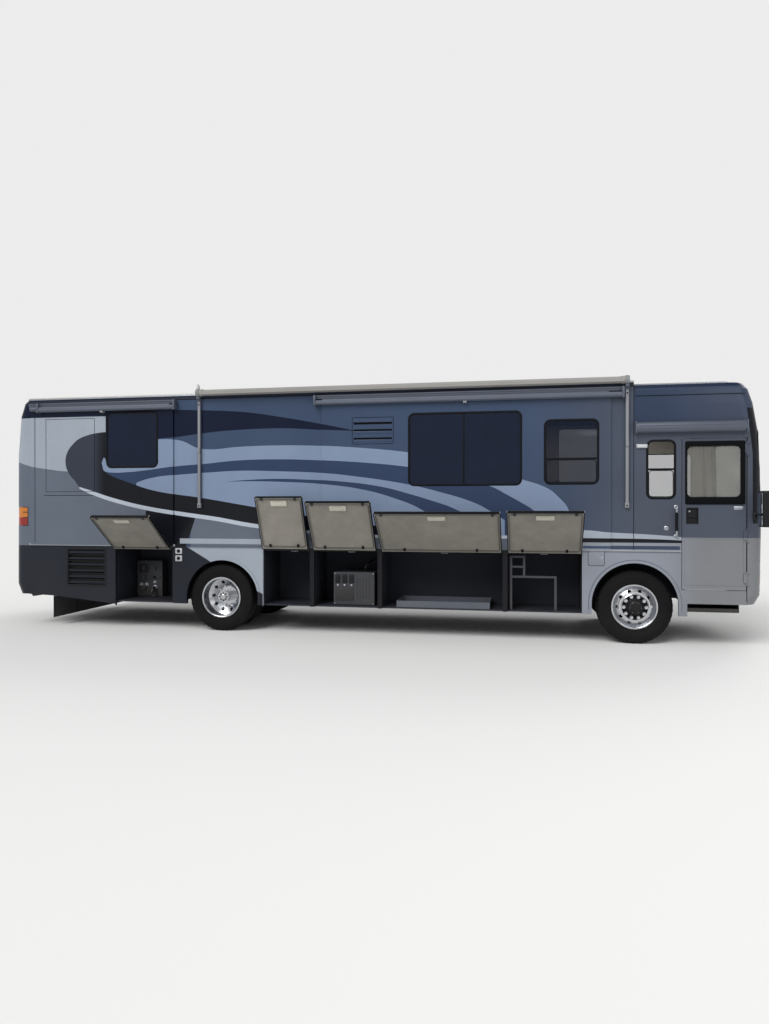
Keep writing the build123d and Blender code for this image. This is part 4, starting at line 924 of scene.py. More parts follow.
def build_entry_door():
    y = SIDE - 0.010
    frame_piece = Piece("door_window_frame", deep_black)
    # Shape, how far it is grown, corner radius, depth into the door
    frame_piece.skin([[(px, y + depth, pz) for px, pz in grown(shape, out, radius)] for shape, out, radius, depth in (
        (DOOR_FRAME, 0.001, 0.022, 0.0105), (DOOR_FRAME, 0.001, 0.022, -0.003), (DOOR_FRAME, -0.006, 0.020, -0.007),
        (DOOR_WINDOW, 0.006, 0.076, -0.007), (DOOR_WINDOW, -0.010, 0.060, -0.001),
        (DOOR_WINDOW, -0.010, 0.060, 0.012))], capped=False)
    frame_piece.done("entry_door")

    bowl = Piece("door_handle", black_trim, anodised)
    x0, x1, z0, z1 = HANDLE
    for low, high in ((x0 - 0.008, x0 + 0.004), (x1 - 0.004, x1 + 0.008)):
        bowl.block(low, high, SIDE - 0.004, SIDE + 0.021, z0 - 0.008, z1 + 0.008, 0.002)
    for low, high in ((z0 - 0.008, z0 + 0.004), (z1 - 0.004, z1 + 0.008)):
        bowl.block(x0, x1, SIDE - 0.004, SIDE + 0.021, low, high, 0.002)
    bowl.block(x0, x1, SIDE + 0.0185, SIDE + 0.0215, z0, z1, 0)
    bowl.block(x0 + 0.012, x1 - 0.012, SIDE - 0.008, SIDE + 0.003, 1.676, 1.708, 0.005)
    bowl.use(1).lathe((x0 + 0.035, SIDE + 0.010, 1.755), "y",
                      [(0.008, 0.013), (-0.004, 0.013), (-0.006, 0.011), (-0.006, 0.003), (-0.003, 0.003)], 20)
    bowl.done("entry_door")

    extras = Piece("door_trim", anodised, black_rubber)
    extras.plate(rounded(6.990, 7.100, 1.775, 1.820, 0.010, 3), SIDE + 0.001, SIDE - 0.005)
    extras.use(1)
    x0, x1, z0, z1 = DOOR
    for low, high in ((x0 - 0.004, x0 + 0.001), (x1 - 0.001, x1 + 0.003)):
        extras.block(low, high, SIDE + 0.006, SIDE + 0.030, z0, z1, 0)
    extras.block(x0, x1, SIDE + 0.006, SIDE + 0.030, z1 - 0.001, z1 + 0.004, 0)
    extras.done("entry_door")


def build_grab_handle():
    """An upright rail on two stand-offs beside the door, with a round lock beside it."""
    rail = Piece("grab_handle", anodised, black_rubber)
    x, y = 6.288, SIDE - 0.055
    rail.tube([(x, SIDE + 0.002, 1.43), (x, SIDE - 0.030, 1.43), (x, y + 0.008, 1.438), (x, y, 1.455), (x, y, 1.62),
               (x, y, 1.785), (x, y + 0.008, 1.802), (x, SIDE - 0.030, 1.81), (x, SIDE + 0.002, 1.81)], 0.014, 14)
    for z in (1.43, 1.81):
        rail.lathe((x, SIDE, z), "y", [(0.001, 0.026), (-0.006, 0.026), (-0.010, 0.018), (-0.010, 0.006)], 20)
    rail.use(1).tube([(x, y, 1.50), (x, y, 1.74)], 0.0175, 14)
    rail.done()
    lock = Piece("cab_lock", anodised, black_trim)
    lock.lathe((6.170, SIDE, 1.536), "y", [(0.001, 0.030), (-0.004, 0.030), (-0.008, 0.024), (-0.009, 0.014),
                                           (-0.005, 0.012), (-0.005, 0.003)], 28)
    lock.done()
    lamp = Piece("porch_lamp", anodised, light_plastic)
    lamp.block(5.795, 5.935, SIDE + 0.001, SIDE - 0.016, 2.578, 2.630, 0.005)
    lamp.use(1).block(5.803, 5.927, SIDE - 0.012, SIDE - 0.032, 2.584, 2.624, 0.009)
    lamp.done()


def build_side_hatches():
    """Fuel door and shore outlets on the right side."""
    flap = Piece("fuel_door", body_paint, black_rubber, anodised)
    flap.use(1).plate(rounded(5.186, 5.401, 1.032, 1.252, 0.028), SIDE + 0.001, SIDE - 0.0022)
    flap.use(0).plate(rounded(5.192, 5.395, 1.038, 1.246, 0.024), SIDE, SIDE - 0.007, 0.003)
    flap.use(2).lathe((5.365, SIDE - 0.006, 1.142), "y", [(0.001, 0.011), (-0.003, 0.011), (-0.004, 0.009),
                                                          (-0.004, 0.002)], 18)
    flap.done()
    outlets = Piece("shore_outlets", light_plastic, black_trim)
    for z, tall in ((1.165, 0.085), (1.058, 0.085)):
        outlets.use(0).plate(rounded(-0.690, -0.585, z - tall / 2, z + tall / 2, 0.012, 3), SIDE + 0.001,
                             SIDE - 0.008, 0.003)
        outlets.use(1).lathe((-0.637, SIDE - 0.008, z), "y",
                             [(0.001, 0.026), (-0.005, 0.026), (-0.007, 0.022), (-0.007, 0.004)], 20)
    outlets.done()


def strip(piece, x0, x1, side, z0, z1, proud, face=HALF_WIDTH, bevel=0.002):
    piece.block(x0, x1, side * (face - 0.002), side * (face + proud), z0, z1, bevel)


def build_mouldings():
    bright = Piece("sill_moulding", anodised)
    for side in (-1, 1):
        strip(bright, CAP_REAR_X + 0.01, -1.660, side, 1.229, 1.262, 0.022, bevel=0.005)
        strip(bright, -0.735, -0.690, side, 1.229, 1.262, 0.022, bevel=0.005)
        strip(bright, 5.110, 6.352 if side < 0 else 7.13, side, 1.229, 1.246, 0.021, bevel=0.004)
    bright.done()
    gutter = Piece("roof_gutter", anodised, black_trim)
    for side in (-1, 1):
        gutter.use(0)
        strip(gutter, CAP_REAR_X, CAP_FRONT_X, side, 3.444, 3.462, 0.012, bevel=0.003)
        strip(gutter, CAP_REAR_X, CAP_FRONT_X, side, 3.437, 3.446, 0.020, bevel=0.003)
        gutter.use(1)
        strip(gutter, CAP_REAR_X, CAP_FRONT_X, side, 3.385, 3.402, 0.006)
    gutter.done()
    seams = Piece("panel_seams", black_rubber)
    for side in (-1, 1):
        for x in (CAP_REAR_X + 0.046, CAP_FRONT_X):
            strip(seams, x - 0.004, x + 0.004, side, 1.24, 3.39, 0.0012, bevel=0)
        strip(seams, 1.545, 1.558, side, 1.80, 3.25, 0.004, bevel=0)
        strip(seams, CAP_FRONT_X + 0.02, 7.13, side, 3.256, 3.264, 0.0008, bevel=0)
        strip(seams, -2.83, -2.0, side, 1.984, 1.992, 0.0262, bevel=0)
        for z in (1.262, 1.297):
            strip(seams, 5.125, 6.340, side, z - 0.003, z + 0.003, 0.0012, bevel=0)
        strip(seams, 7.141, 7.150, side, 0.60, 2.70, 0.0012, bevel=0)
    seams.done()
    # The access panel outlined on the bedroom room's side
    outline = Piece("room_side_panel", black_rubber)
    x0, x1, z0, z1 = -2.80, -1.98, 2.04, 3.145
    y = HALF_WIDTH + ROOM_PROUD
    for a, b, c, d in ((x0, x0 + 0.006, z0, z1), (x1 - 0.006, x1, z0, z1), (x0, x1, z0, z0 + 0.006),
                       (x0, x1, z1 - 0.006, z1)):
        outline.block(a, b, -y + 0.002, -y - 0.0014, c, d, 0)
    outline.done()


# Awnings
AWNING_X = (-0.320, 5.700)
AWNING_Z = 3.468
AWNING_Y = -1.332


def build_awnings():
    roll = Piece("patio_awning", awning_sleeve, anodised)
    x0, x1 = AWNING_X[0] + 0.05, AWNING_X[1] - 0.05
    roll.lathe((0, AWNING_Y, AWNING_Z), "x", [(x0, 0.010), (x0, 0.050), (x0 + 0.05, 0.0515), (x0 + 0.052, 0.044)], 32)
    roll.lathe((0, AWNING_Y, AWNING_Z), "x", [(x1 - 0.052, 0.044), (x1 - 0.05, 0.0515), (x1, 0.050), (x1, 0.010)], 32)
    # The rolled fabric with its end turn lying on it, and the rail that it pulls from
    wraps = []
    for x in (x0 + 0.051, x1 - 0.051):
        ring = []
        for k in range(48):
            angle = 2 * math.pi * k / 48
            radius = 0.0425 + 0.0035 * (k / 47)
            ring.append((x, AWNING_Y + radius * math.cos(angle), AWNING_Z + radius * math.sin(angle)))
        wraps.append(ring)
    roll.skin(wraps)
    roll.block(x0 + 0.02, x1 - 0.02, AWNING_Y - 0.058, AWNING_Y - 0.040, AWNING_Z - 0.030, AWNING_Z - 0.004, 0.006)
    roll.use(1).block(x0, x1, SIDE + 0.001, SIDE - 0.016, AWNING_Z + 0.006, AWNING_Z + 0.030, 0.004)
    roll.done()

    arms = Piece("awning_arms", arm_paint, black_trim, light_plastic)
    for x in (AWNING_X[0], AWNING_X[1] - 0.045):
        arms.use(0)
        arms.block(x + 0.005, x + 0.040, SIDE - 0.030, SIDE - 0.046, 1.86, 3.34, 0.004)
        arms.block(x - 0.004, x + 0.049, SIDE - 0.001, SIDE - 0.050, 1.80, 1.87, 0.008)
        arms.block(x + 0.004, x + 0.041, SIDE - 0.030, SIDE - 0.060, 2.60, 2.66, 0.006)
        arms.lathe((x - 0.004, AWNING_Y, AWNING_Z), "x", [(0.0, 0.008), (0.0, 0.054), (0.006, 0.058), (0.044, 0.058),
                                                          (0.052, 0.052), (0.052, 0.008)], 32)
        arms.use(1)
        for z in (1.83, 2.63, 3.30):
            arms.lathe((x + 0.0225, SIDE - 0.046, z), "y", [(0.0, 0.010), (-0.008, 0.010), (-0.010, 0.007),
                                                            (-0.010, 0.002)], 14)
    # The lock lever that stands up on the rear arm's head, in light plastic so that it shows bright: partly the
    # lever, partly a painted highlight for the glint there
    x = AWNING_X[0]
    arms.use(2).block(x + 0.004, x + 0.040, AWNING_Y - 0.028, AWNING_Y + 0.028, AWNING_Z + 0.050, AWNING_Z + 0.100,
                      0.010)
    arms.block(x + 0.012, x + 0.032, AWNING_Y - 0.016, AWNING_Y + 0.016, AWNING_Z + 0.095, AWNING_Z + 0.125, 0.008)
    arms.done()

    # Over each room: a rail on the wall, the rolled fabric below it, end brackets and a middle cradle
    toppers = Piece("room_awnings", awning_case, awning_fabric, arm_paint)
    y, z = SIDE - 0.056, 3.280
    for x0, x1, roll_x in ((-3.075, -0.672, -2.905), (1.425, 5.630, 1.455)):
        toppers.use(1).lathe((0, y, z), "x", [(roll_x, 0.012), (roll_x, 0.0352), (x1 - 0.02, 0.0352),
                                              (x1 - 0.02, 0.012)], 28)
        toppers.use(0).block(x0, x1 - 0.01, SIDE - 0.001, SIDE - 0.052, z + 0.052, z + 0.100, 0.008)
        toppers.block(x0 + 0.01, x1 - 0.02, SIDE - 0.050, SIDE - 0.062, z + 0.082, z + 0.102, 0.004)
        for end in (roll_x - 0.012, x1 - 0.022):
            toppers.block(end, end + 0.034, SIDE - 0.001, SIDE - 0.098, z - 0.044, z + 0.104, 0.012)
        toppers.block(roll_x + 0.02, x1 - 0.02, y - 0.032, y - 0.042, z - 0.022, z + 0.002, 0.004)
        middle = (x0 + x1) / 2 + 0.04
        toppers.use(2).block(middle - 0.025, middle + 0.025, SIDE - 0.024, SIDE - 0.092, z - 0.062, z - 0.030, 0.006)
    toppers.done()

    case = Piece("door_awning_case", awning_case, black_trim)
    x0, x1 = 5.787, 7.130
    loops = []
    section = [(-1.2703, 2.772), (-1.300, 2.768), (-1.345, 2.778), (-1.362, 2.806), (-1.366, 2.842), (-1.360, 2.880),
               (-1.338, 2.906), (-1.300, 2.913), (-1.2703, 2.913)]
    for x, shrink in ((x0, 0.96), (x0 + 0.006, 1.0), (x1 - 0.006, 1.0), (x1, 0.96)):
        loops.append([(x, SIDE + (py - SIDE) * shrink, 2.842 + (pz - 2.842) * shrink) for py, pz in section])
    case.skin(loops)
    case.block(x0 + 0.03, x1 - 0.03, -1.3655, -1.368, 2.818, 2.824, 0).block(
        x0 + 0.03, x1 - 0.03, -1.3655, -1.369, 2.858, 2.866, 0.001)
    for end in (x0 - 0.012, x1 - 0.006):
        case.block(end, end + 0.018, SIDE - 0.0005, -1.368, 2.764, 2.918, 0.006)
    case.done()


# Wheels
TYRE_R = 0.490
DUAL_OUT_Y = 1.080
DUAL_IN_Y = 0.744
FRONT_Y = 1.040
RIM_DISC = 0.168
RIM_BEAD = [(0.112, 0.276), (0.130, 0.275), (0.134, 0.280), (0.134, 0.294), (0.130, 0.2985), (0.122, 0.2988),
            (0.116, 0.2975)]


def handed(side, profile, start=0.0):
    """A turned profile that runs outwards on this side of the vehicle."""
    return [(side * (start + along), radius) for along, radius in profile]


def tyre_profile():
    """Half of a tyre's section from the bead to the middle of the tread: (radius, across)."""
    wall = [(0.286, 0.100), (0.291, 0.112), (0.300, 0.1165), (0.306, 0.124), (0.318, 0.1285), (0.322, 0.1285),
            (0.334, 0.1335), (0.352, 0.1370), (0.372, 0.1392), (0.390, 0.1400), (0.394, 0.1412), (0.400, 0.1412),
            (0.404, 0.1398), (0.424, 0.1375), (0.444, 0.1335), (0.452, 0.1320)]
    shoulder = [(0.462, 0.1290), (0.472, 0.1240), (0.480, 0.1165), (0.4855, 0.1080)]
    ribs = [(0.4868, 0.0860), (0.4765, 0.0835), (0.4765, 0.0765), (0.4875, 0.0740), (0.4890, 0.0330),
            (0.4770, 0.0305), (0.4770, 0.0235), (0.4893, 0.0210), (0.4900, 0.0)]
    return wall, shoulder, ribs


def make_tyre(name, body, node, places, steps=168):
    """Ribbed road tyres: shoulder blocks, zigzag grooves and wall rings."""
    wall, shoulder, ribs = tyre_profile()
    half = wall + shoulder + ribs
    across = [(r, y) for r, y in half] + [(r, -y) for r, y in reversed(half[:-1])]
    first_shoulder, first_rib = len(wall), len(wall) + len(shoulder)
    piece = Piece(name, tyre_rubber)
    for x, y in places:
        rings = []
        for k in range(steps):
            angle = 2 * math.pi * k / steps
            cut = k % 4 == 0
            wave = 0.0022 * (1 if (k // 2) % 2 else -1)
            ring = []
            for index, (radius, side) in enumerate(across):
                inner = min(index, len(across) - 1 - index)
                if cut and first_shoulder <= inner < first_rib:
                    radius -= 0.0065
                if inner >= first_rib and inner < len(half) - 1:
                    side += wave
                ring.append((x + radius * math.cos(angle), y + side, TYRE_R + radius * math.sin(angle)))
            rings.append(piece.loop(ring))
        for k in range(steps):
            piece.bridge(rings[k], rings[(k + 1) % steps])
    return piece.done(body, slot="tyre", replaces=(node,), smooth=28)


def build_tyres():
    for label, side in SIDES:
        make_tyre(f"road_tyre_front_{label}", f"front_wheel_{label}", f"front_tyre_{label}",
                  [(WHEELBASE, side * FRONT_Y)])
        make_tyre(f"road_tyres_rear_{label}", f"rear_wheels_{label}", f"rear_tyres_{label}",
                  [(0, side * DUAL_OUT_Y), (0, side * DUAL_IN_Y)])


def build_wheel_details():
    for label, side in SIDES:
        body = f"front_wheel_{label}"
        face = side * (FRONT_Y + RIM_DISC)
        nuts(f"front_nuts_{label}", body, WHEELBASE, face, TYRE_R, side, 10, 0.1425, 0.0185, 0.026, aluminium)
        hub = Piece(f"front_hub_{label}", black_trim, dark_metal, deep_black)
        hub.lathe((WHEELBASE, face, TYRE_R), "y", handed(side, (
            (0.001, 0.118), (0.008, 0.117), (0.012, 0.108), (0.030, 0.100), (0.038, 0.094), (0.044, 0.090),
            (0.058, 0.088), (0.064, 0.080), (0.066, 0.050), (0.072, 0.046), (0.074, 0.010))), 40)
        hub.use(2).lathe((WHEELBASE, face, TYRE_R), "y", handed(side, (
            (-0.004, 0.112), (0.002, 0.114), (0.003, 0.160), (0.001, 0.166), (-0.004, 0.167))), 40, ring=True)
        hub.done(body)
        nuts(f"front_cap_screws_{label}", body, WHEELBASE, side * (FRONT_Y + RIM_DISC + 0.058), TYRE_R, side, 6,
             0.072, 0.006, 0.006, anodised)
        rim_edge = Piece(f"front_rim_bead_{label}", aluminium)
        rim_edge.lathe((WHEELBASE, 0, TYRE_R), "y", handed(side, RIM_BEAD, FRONT_Y), 64, ring=True)
        rim_edge.done(body)

        body = f"rear_wheels_{label}"
        disc = side * (DUAL_OUT_Y - RIM_DISC)
        nuts(f"rear_nuts_{label}", body, 0, disc + side * 0.022, TYRE_R, side, 10, 0.1425, 0.0165, 0.024, aluminium)
        flange = Piece(f"rear_axle_flange_{label}", aluminium, dark_metal)
        flange.lathe((0, side * 1.118, TYRE_R), "y", handed(side, (
            (-0.012, 0.084), (0.0, 0.0835), (0.010, 0.079), (0.012, 0.064), (0.012, 0.046), (0.024, 0.042),
            (0.030, 0.034), (0.031, 0.008))), 40)
        flange.done(body)
        nuts(f"rear_flange_nuts_{label}", body, 0, side * 1.130, TYRE_R, side, 8, 0.058, 0.009, 0.010, dark_metal)
        dish = Piece(f"rear_rim_bead_{label}", aluminium)
        dish.lathe((0, 0, TYRE_R), "y", handed(side, RIM_BEAD, DUAL_OUT_Y), 64, ring=True)
        dish.done(body)
        valve = Piece(f"rear_valve_{label}", anodised)
        valve.tube([(0.235, side * (DUAL_OUT_Y - 0.02), TYRE_R), (0.232, side * (DUAL_OUT_Y + 0.05), TYRE_R),
                    (0.226, side * (DUAL_OUT_Y + 0.11), TYRE_R)], 0.0045, 8)
        valve.done(body)


# Bay doors: rear edge, front edge and, where a door stands open, its rise above level in degrees
RIGHT_BAYS = [(-1.651, -0.743, 37), (0.677, 1.358, 67), (1.436, 2.340, 57), (2.417, 4.064, 42), (4.143, 5.105, 43)]
LEFT_BAYS = [(-1.651, -0.743), (0.677, 2.070), (2.148, 3.730), (3.808, 5.105)]
BAY_BOTTOM_Z = 0.415
DOOR_T = 0.038
HINGE_Y = 1.283


def swing(piece, side, degrees):
    """Turns a piece's mesh about the bay doors' hinge line."""
    pivot = Matrix.Translation(at(0, side * HINGE_Y, SILL_Z))
    bmesh.ops.transform(piece.mesh, matrix=pivot @ Matrix.Rotation(math.radians(degrees), 4, "X") @ pivot.inverted(),
                        verts=piece.mesh.verts)
    return piece


def build_bay_doors():
    for side, bays, word in ((-1, RIGHT_BAYS, "right"), (1, LEFT_BAYS, "left")):
        for number, (x0, x1, *rise) in enumerate(bays, 1):
            inner = side * (HALF_WIDTH - DOOR_T)
            z0, z1 = BAY_BOTTOM_Z, SILL_Z - 0.005
            middle = (x0 + x1) / 2
            trim = Piece(f"{word}_bay_trim_{number}", black_rubber, latch_plastic, dark_metal, door_seal)
            # Bulb seal inside the edge, and the black edge bead
            trim.use(3).surround(
                (x0 + 0.026, x1 - 0.026, z0 + 0.026, z1 - 0.046), inner, -side,
                [(-0.009, -0.001), (-0.008, 0.006), (0.0, 0.010), (0.008, 0.006), (0.009, -0.001)], 0.03, 4)
            trim.use(0).surround(
                (x0 + 0.004, x1 - 0.004, z0 + 0.004, z1 - 0.004), inner, -side,
                [(-0.006, -0.001), (-0.005, 0.002), (0.0052, 0.002), (0.0052, -DOOR_T + 0.002),
                 (0.0042, -DOOR_T + 0.002)], 0.006, 2)
            # Latch plate with a second, smaller plate on it
            trim.use(1)
            trim.plate(rounded(middle - 0.115, middle + 0.115, z0 + 0.052, z0 + 0.132, 0.018, 4),
                       inner + side * 0.004, inner - side * 0.007, 0.003)
            trim.plate(rounded(middle - 0.080, middle + 0.080, z0 + 0.066, z0 + 0.118, 0.012, 4),
                       inner - side * 0.004, inner - side * 0.011, 0.003)
            trim.use(2)
            for x in (x0 + 0.10, x1 - 0.10):
                trim.block(x - 0.020, x + 0.020, inner + side * 0.006, inner - side * 0.012, z0 + 0.008, z0 + 0.048,
                           0.004)
            trim.use(0)
            for share in (0.2, 0.8):
                x = x0 + share * (x1 - x0)
                trim.block(x - 0.014, x + 0.014, inner + side * 0.004, inner - side * 0.018, z1 - 0.085, z1 - 0.042,
                           0.004)
            if side > 0:
                trim.plate(rounded(middle - 0.085, middle + 0.085, z0 + 0.095, z0 + 0.165, 0.014, 4),
                           HALF_WIDTH - 0.001, HALF_WIDTH + 0.006, 0.003)
                trim.plate(rounded(middle - 0.060, middle + 0.060, z0 + 0.105, z0 + 0.150, 0.010, 4), HALF_WIDTH,
                           HALF_WIDTH + 0.010, 0.004)
            if side < 0:
                swing(trim, side, -(90 + rise[0]))
            trim.done(f"{word}_bay_door_{number}")


# Lamps, mirrors and nose
def build_lamps():
    for label, side in SIDES:
        head = Piece(f"headlamp_{label}", black_trim, clear_lens, reflector, amber_lens)
        for y, radius in ((0.735, 0.082), (0.925, 0.070)):
            for finish, rings in ((0, ((-0.004, 0.0), (0.007, 0.0), (0.009, 0.006), (0.003, 0.012))),
                                  (2, ((0.002, 0.012), (0.005, 0.014), (0.004, 0.030), (0.008, 0.045))),
                                  (1, ((0.005, 0.013), (0.009, 0.020), (0.014, 0.045), (0.015, 0.060)))):
                loops = []
                for out, inset in rings:
                    circle = [2 * math.pi * k / 32 for k in range(32)]
                    loops.append(on_nose([(side * y + (radius - inset) * math.cos(a),
                                           0.900 + (radius - inset) * math.sin(a)) for a in circle], out))
                head.use(finish).skin(loops)
        y0, y1 = sorted((side * 1.010, side * 1.050))
        head.use(3).skin([on_nose(rounded(y0 + inset, y1 - inset, 0.815 + inset, 0.985 - inset, 0.010, 3), out)
                          for out, inset in ((-0.002, 0.0), (0.005, 0.0), (0.007, 0.004))])
        head.done()
        tail = Piece(f"tail_lamp_{label}", black_trim)
        for z in (1.528, 1.652, 1.733, 1.812):
            tail.block(-3.215, -3.125, side * (HALF_WIDTH - 0.004), side * (HALF_WIDTH + 0.003), z - 0.004,
                       z + 0.004, 0.001)
        tail.block(-3.132, -3.122, side * (HALF_WIDTH - 0.004), side * (HALF_WIDTH + 0.003), 1.524, 1.816, 0.001)
        tail.done()
    marks = Piece("marker_lamps", amber_lens, red_lens)
    for y in (-0.95, -0.18, 0.0, 0.18, 0.95):
        marks.use(0).skin([on_nose(rounded(y - 0.045 + inset, y + 0.045 - inset, 3.330 + inset, 3.362 - inset,
                                           0.010, 3), out)
                           for out, inset in ((-0.004, 0.0), (0.010, 0.0), (0.014, 0.005))])
        marks.use(1).block(TAIL_X + 0.155, TAIL_X + 0.195, y - 0.045, y + 0.045, 3.40, 3.43, 0.010)
    marks.done()


def build_mirrors():
    for label, side in SIDES:
        mirror = Piece(f"mirror_glass_{label}", black_trim, mirror_glass, steel_black)
        x = 7.230
        for z0, z1 in ((1.725, 1.985), (1.580, 1.705)):
            outline = rounded(side * 1.420 if side > 0 else -1.610, side * 1.610 if side > 0 else -1.420, z0, z1,
                              0.018, 4)
            loops = []
            for depth, inset in ((x + 0.004, 0.0), (x - 0.003, 0.0), (x - 0.004, 0.004)):
                cx = sum(p[0] for p in outline) / len(outline)
                cz = sum(p[1] for p in outline) / len(outline)
                loops.append([(depth, py - math.copysign(inset, py - cx), pz - math.copysign(inset, pz - cz))
                              for py, pz in outline])
            mirror.use(1).skin(loops)
        mirror.use(2).tube([(7.255, side * 1.245, 1.700), (7.255, side * 1.300, 1.700), (7.262, side * 1.380, 1.715),
                            (7.275, side * 1.420, 1.760)], 0.026, 12)
        mirror.block(7.215, 7.295, side * 1.262, side * 1.290, 1.655, 1.745, 0.010)
        mirror.done()


def nose_x(y, z, out=0.0):
    """The front face's place at this height and distance from the middle."""
    sections = [(0.56, 0.08), (0.68, 0.015), (1.5, 0.0), (2.3, 0.010), (2.80, 0.045), (3.15, 0.105), (3.33, 0.165),
                (3.405, 0.230), (3.43, 0.300)]
    inward = sections[0][1]
    for (za, ia), (zb, ib) in zip(sections, sections[1:]):
        if za <= z <= zb:
            inward = ia + (ib - ia) * (z - za) / (zb - za)
    bow, corner = 5.0, 0.2
    turn = math.asin((HALF_WIDTH - corner) / (bow - corner))
    end = NOSE_X - inward
    touch = bow * math.sin(turn)
    if abs(y) <= touch:
        return end - bow + math.sqrt(bow * bow - y * y) + out
    reach = abs(y) - (HALF_WIDTH - corner)
    return end - bow + (bow - corner) * math.cos(turn) + math.sqrt(max(corner * corner - reach * reach, 0.0)) + out


def on_nose(points, out):
    return [(nose_x(y, z, out), y, z) for y, z in points]


def build_nose():
    """Windscreen rubber and divider, wipers, grille bars, bumper and a bare plate holder."""
    rubber = Piece("windscreen_rubber", black_rubber)
    half, z0, z1 = 1.165, 1.660, 2.790
    loops = []
    for out, proud in ((-0.030, -0.004), (-0.026, 0.005), (0.0, 0.009), (0.020, 0.006), (0.024, -0.003)):
        loops.append(on_nose(grown((-half, half, z0, z1), out, 0.11 + out, 8), proud))
    rubber.skin(loops, capped=False)
    divider = [[(nose_x(y, z, proud), y, z)
                for y, proud in ((-0.016, -0.002), (-0.012, 0.006), (0.012, 0.006), (0.016, -0.002))]
               for z in [z0 + (z1 - z0) * k / 12 for k in range(13)]]
    rubber.skin(divider)
    rubber.done()
    wipers = Piece("wipers", black_trim, black_rubber)
    for side in (-1, 1):
        foot_y, tip_y = side * 0.30, side * 0.98
        foot = (nose_x(foot_y, 1.60, 0.012), foot_y, 1.600)
        tip = (nose_x(tip_y, 1.80, 0.040), side * 0.62, 1.830)
        wipers.use(0).lathe(foot, "x", [(-0.012, 0.032), (0.018, 0.030), (0.030, 0.020), (0.032, 0.006)], 18)
        middle = (nose_x(side * 0.46, 1.72, 0.052), side * 0.46, 1.715)
        end = (nose_x(side * 0.62, 1.83, 0.034), side * 0.62, 1.830)
        wipers.tube([foot, middle, end], 0.010, 8, 0.6)
        blade = [(nose_x(side * y, z, 0.018), side * y, z)
                 for y, z in ((0.14, 1.745), (0.38, 1.785), (0.62, 1.825), (0.86, 1.865), (1.06, 1.898))]
        wipers.tube(blade, 0.009, 8)
        wipers.use(1).tube([(x - 0.009, y, z - 0.006) for x, y, z in blade], 0.005, 6)
    wipers.done()
    grille = Piece("nose_grille_bars", anodised, black_trim)
    for k in range(5):
        z = 0.788 + 0.060 * k
        grille.use(0).skin([[(nose_x(y, z, -0.030 + dx), y, z + dz)
                             for dx, dz in ((-0.02, -0.006), (0.006, -0.009), (0.010, 0.0), (0.006, 0.009),
                                            (-0.02, 0.006))]
                            for y in [-0.415 + 0.83 * j / 16 for j in range(17)]])
    for y in (-0.28, -0.14, 0.0, 0.14, 0.28):
        grille.use(1).block(nose_x(y, 0.9, -0.062), nose_x(y, 0.9, -0.036), y - 0.006, y + 0.006, 0.764, 1.036, 0.002)
    grille.done()
    trim = Piece("nose_trim", black_rubber, black_trim)
    for z, half in ((1.120, 1.25), (0.742, 1.25), (1.600, 1.19)):
        points = [-half + 2 * half * k / 40 for k in range(41)]
        trim.use(0).skin([[(nose_x(y, z, proud), y, z + rise)
                           for proud, rise in ((-0.004, -0.006), (0.002, -0.004), (0.002, 0.004), (-0.004, 0.006))]
                          for y in points])
    trim.use(1).skin([on_nose(rounded(-0.160, 0.160, 0.600, 0.695, 0.012, 3), proud)
                      for proud in (-0.004, 0.008, 0.010)])
    trim.done()


def build_tail():
    """Louvres, latches and a bare plate holder on the engine hatch."""
    slats = Piece("hatch_louvres", black_trim)
    for k in range(6):
        z = 0.777 + 0.070 * k
        slats.block(TAIL_X + 0.006, TAIL_X + 0.028, -0.478, 0.478, z - 0.019, z - 0.011, 0.002,
                    Matrix.Rotation(math.radians(-28), 4, "Y"))
        slats.block(TAIL_X + 0.006, TAIL_X + 0.028, -0.478, 0.478, z + 0.006, z + 0.014, 0.002,
                    Matrix.Rotation(math.radians(-28), 4, "Y"))
    slats.done("engine_hatch")
    fittings = Piece("hatch_fittings", black_trim, anodised)
    x = TAIL_X + 0.001
    for side in (-1, 1):
        y = side * 0.56
        fittings.use(0).block(x - 0.010, x + 0.006, y - 0.055, y + 0.055, 0.700, 0.760, 0.006)
        fittings.use(1).block(x - 0.018, x - 0.006, y - 0.030, y + 0.030, 0.712, 0.748, 0.005)
    fittings.use(0).block(x - 0.008, x + 0.006, -0.170, 0.170, 1.290, 1.395, 0.006)
    for y in (-0.11, 0.11):
        fittings.use(1).lathe((x - 0.008, y, 1.3425), "x", [(0.001, 0.007), (-0.004, 0.006), (-0.005, 0.002)], 12)
    fittings.use(0).block(x - 0.026, x + 0.004, -0.075, 0.075, 1.405, 1.430, 0.006)
    fittings.done("engine_hatch")


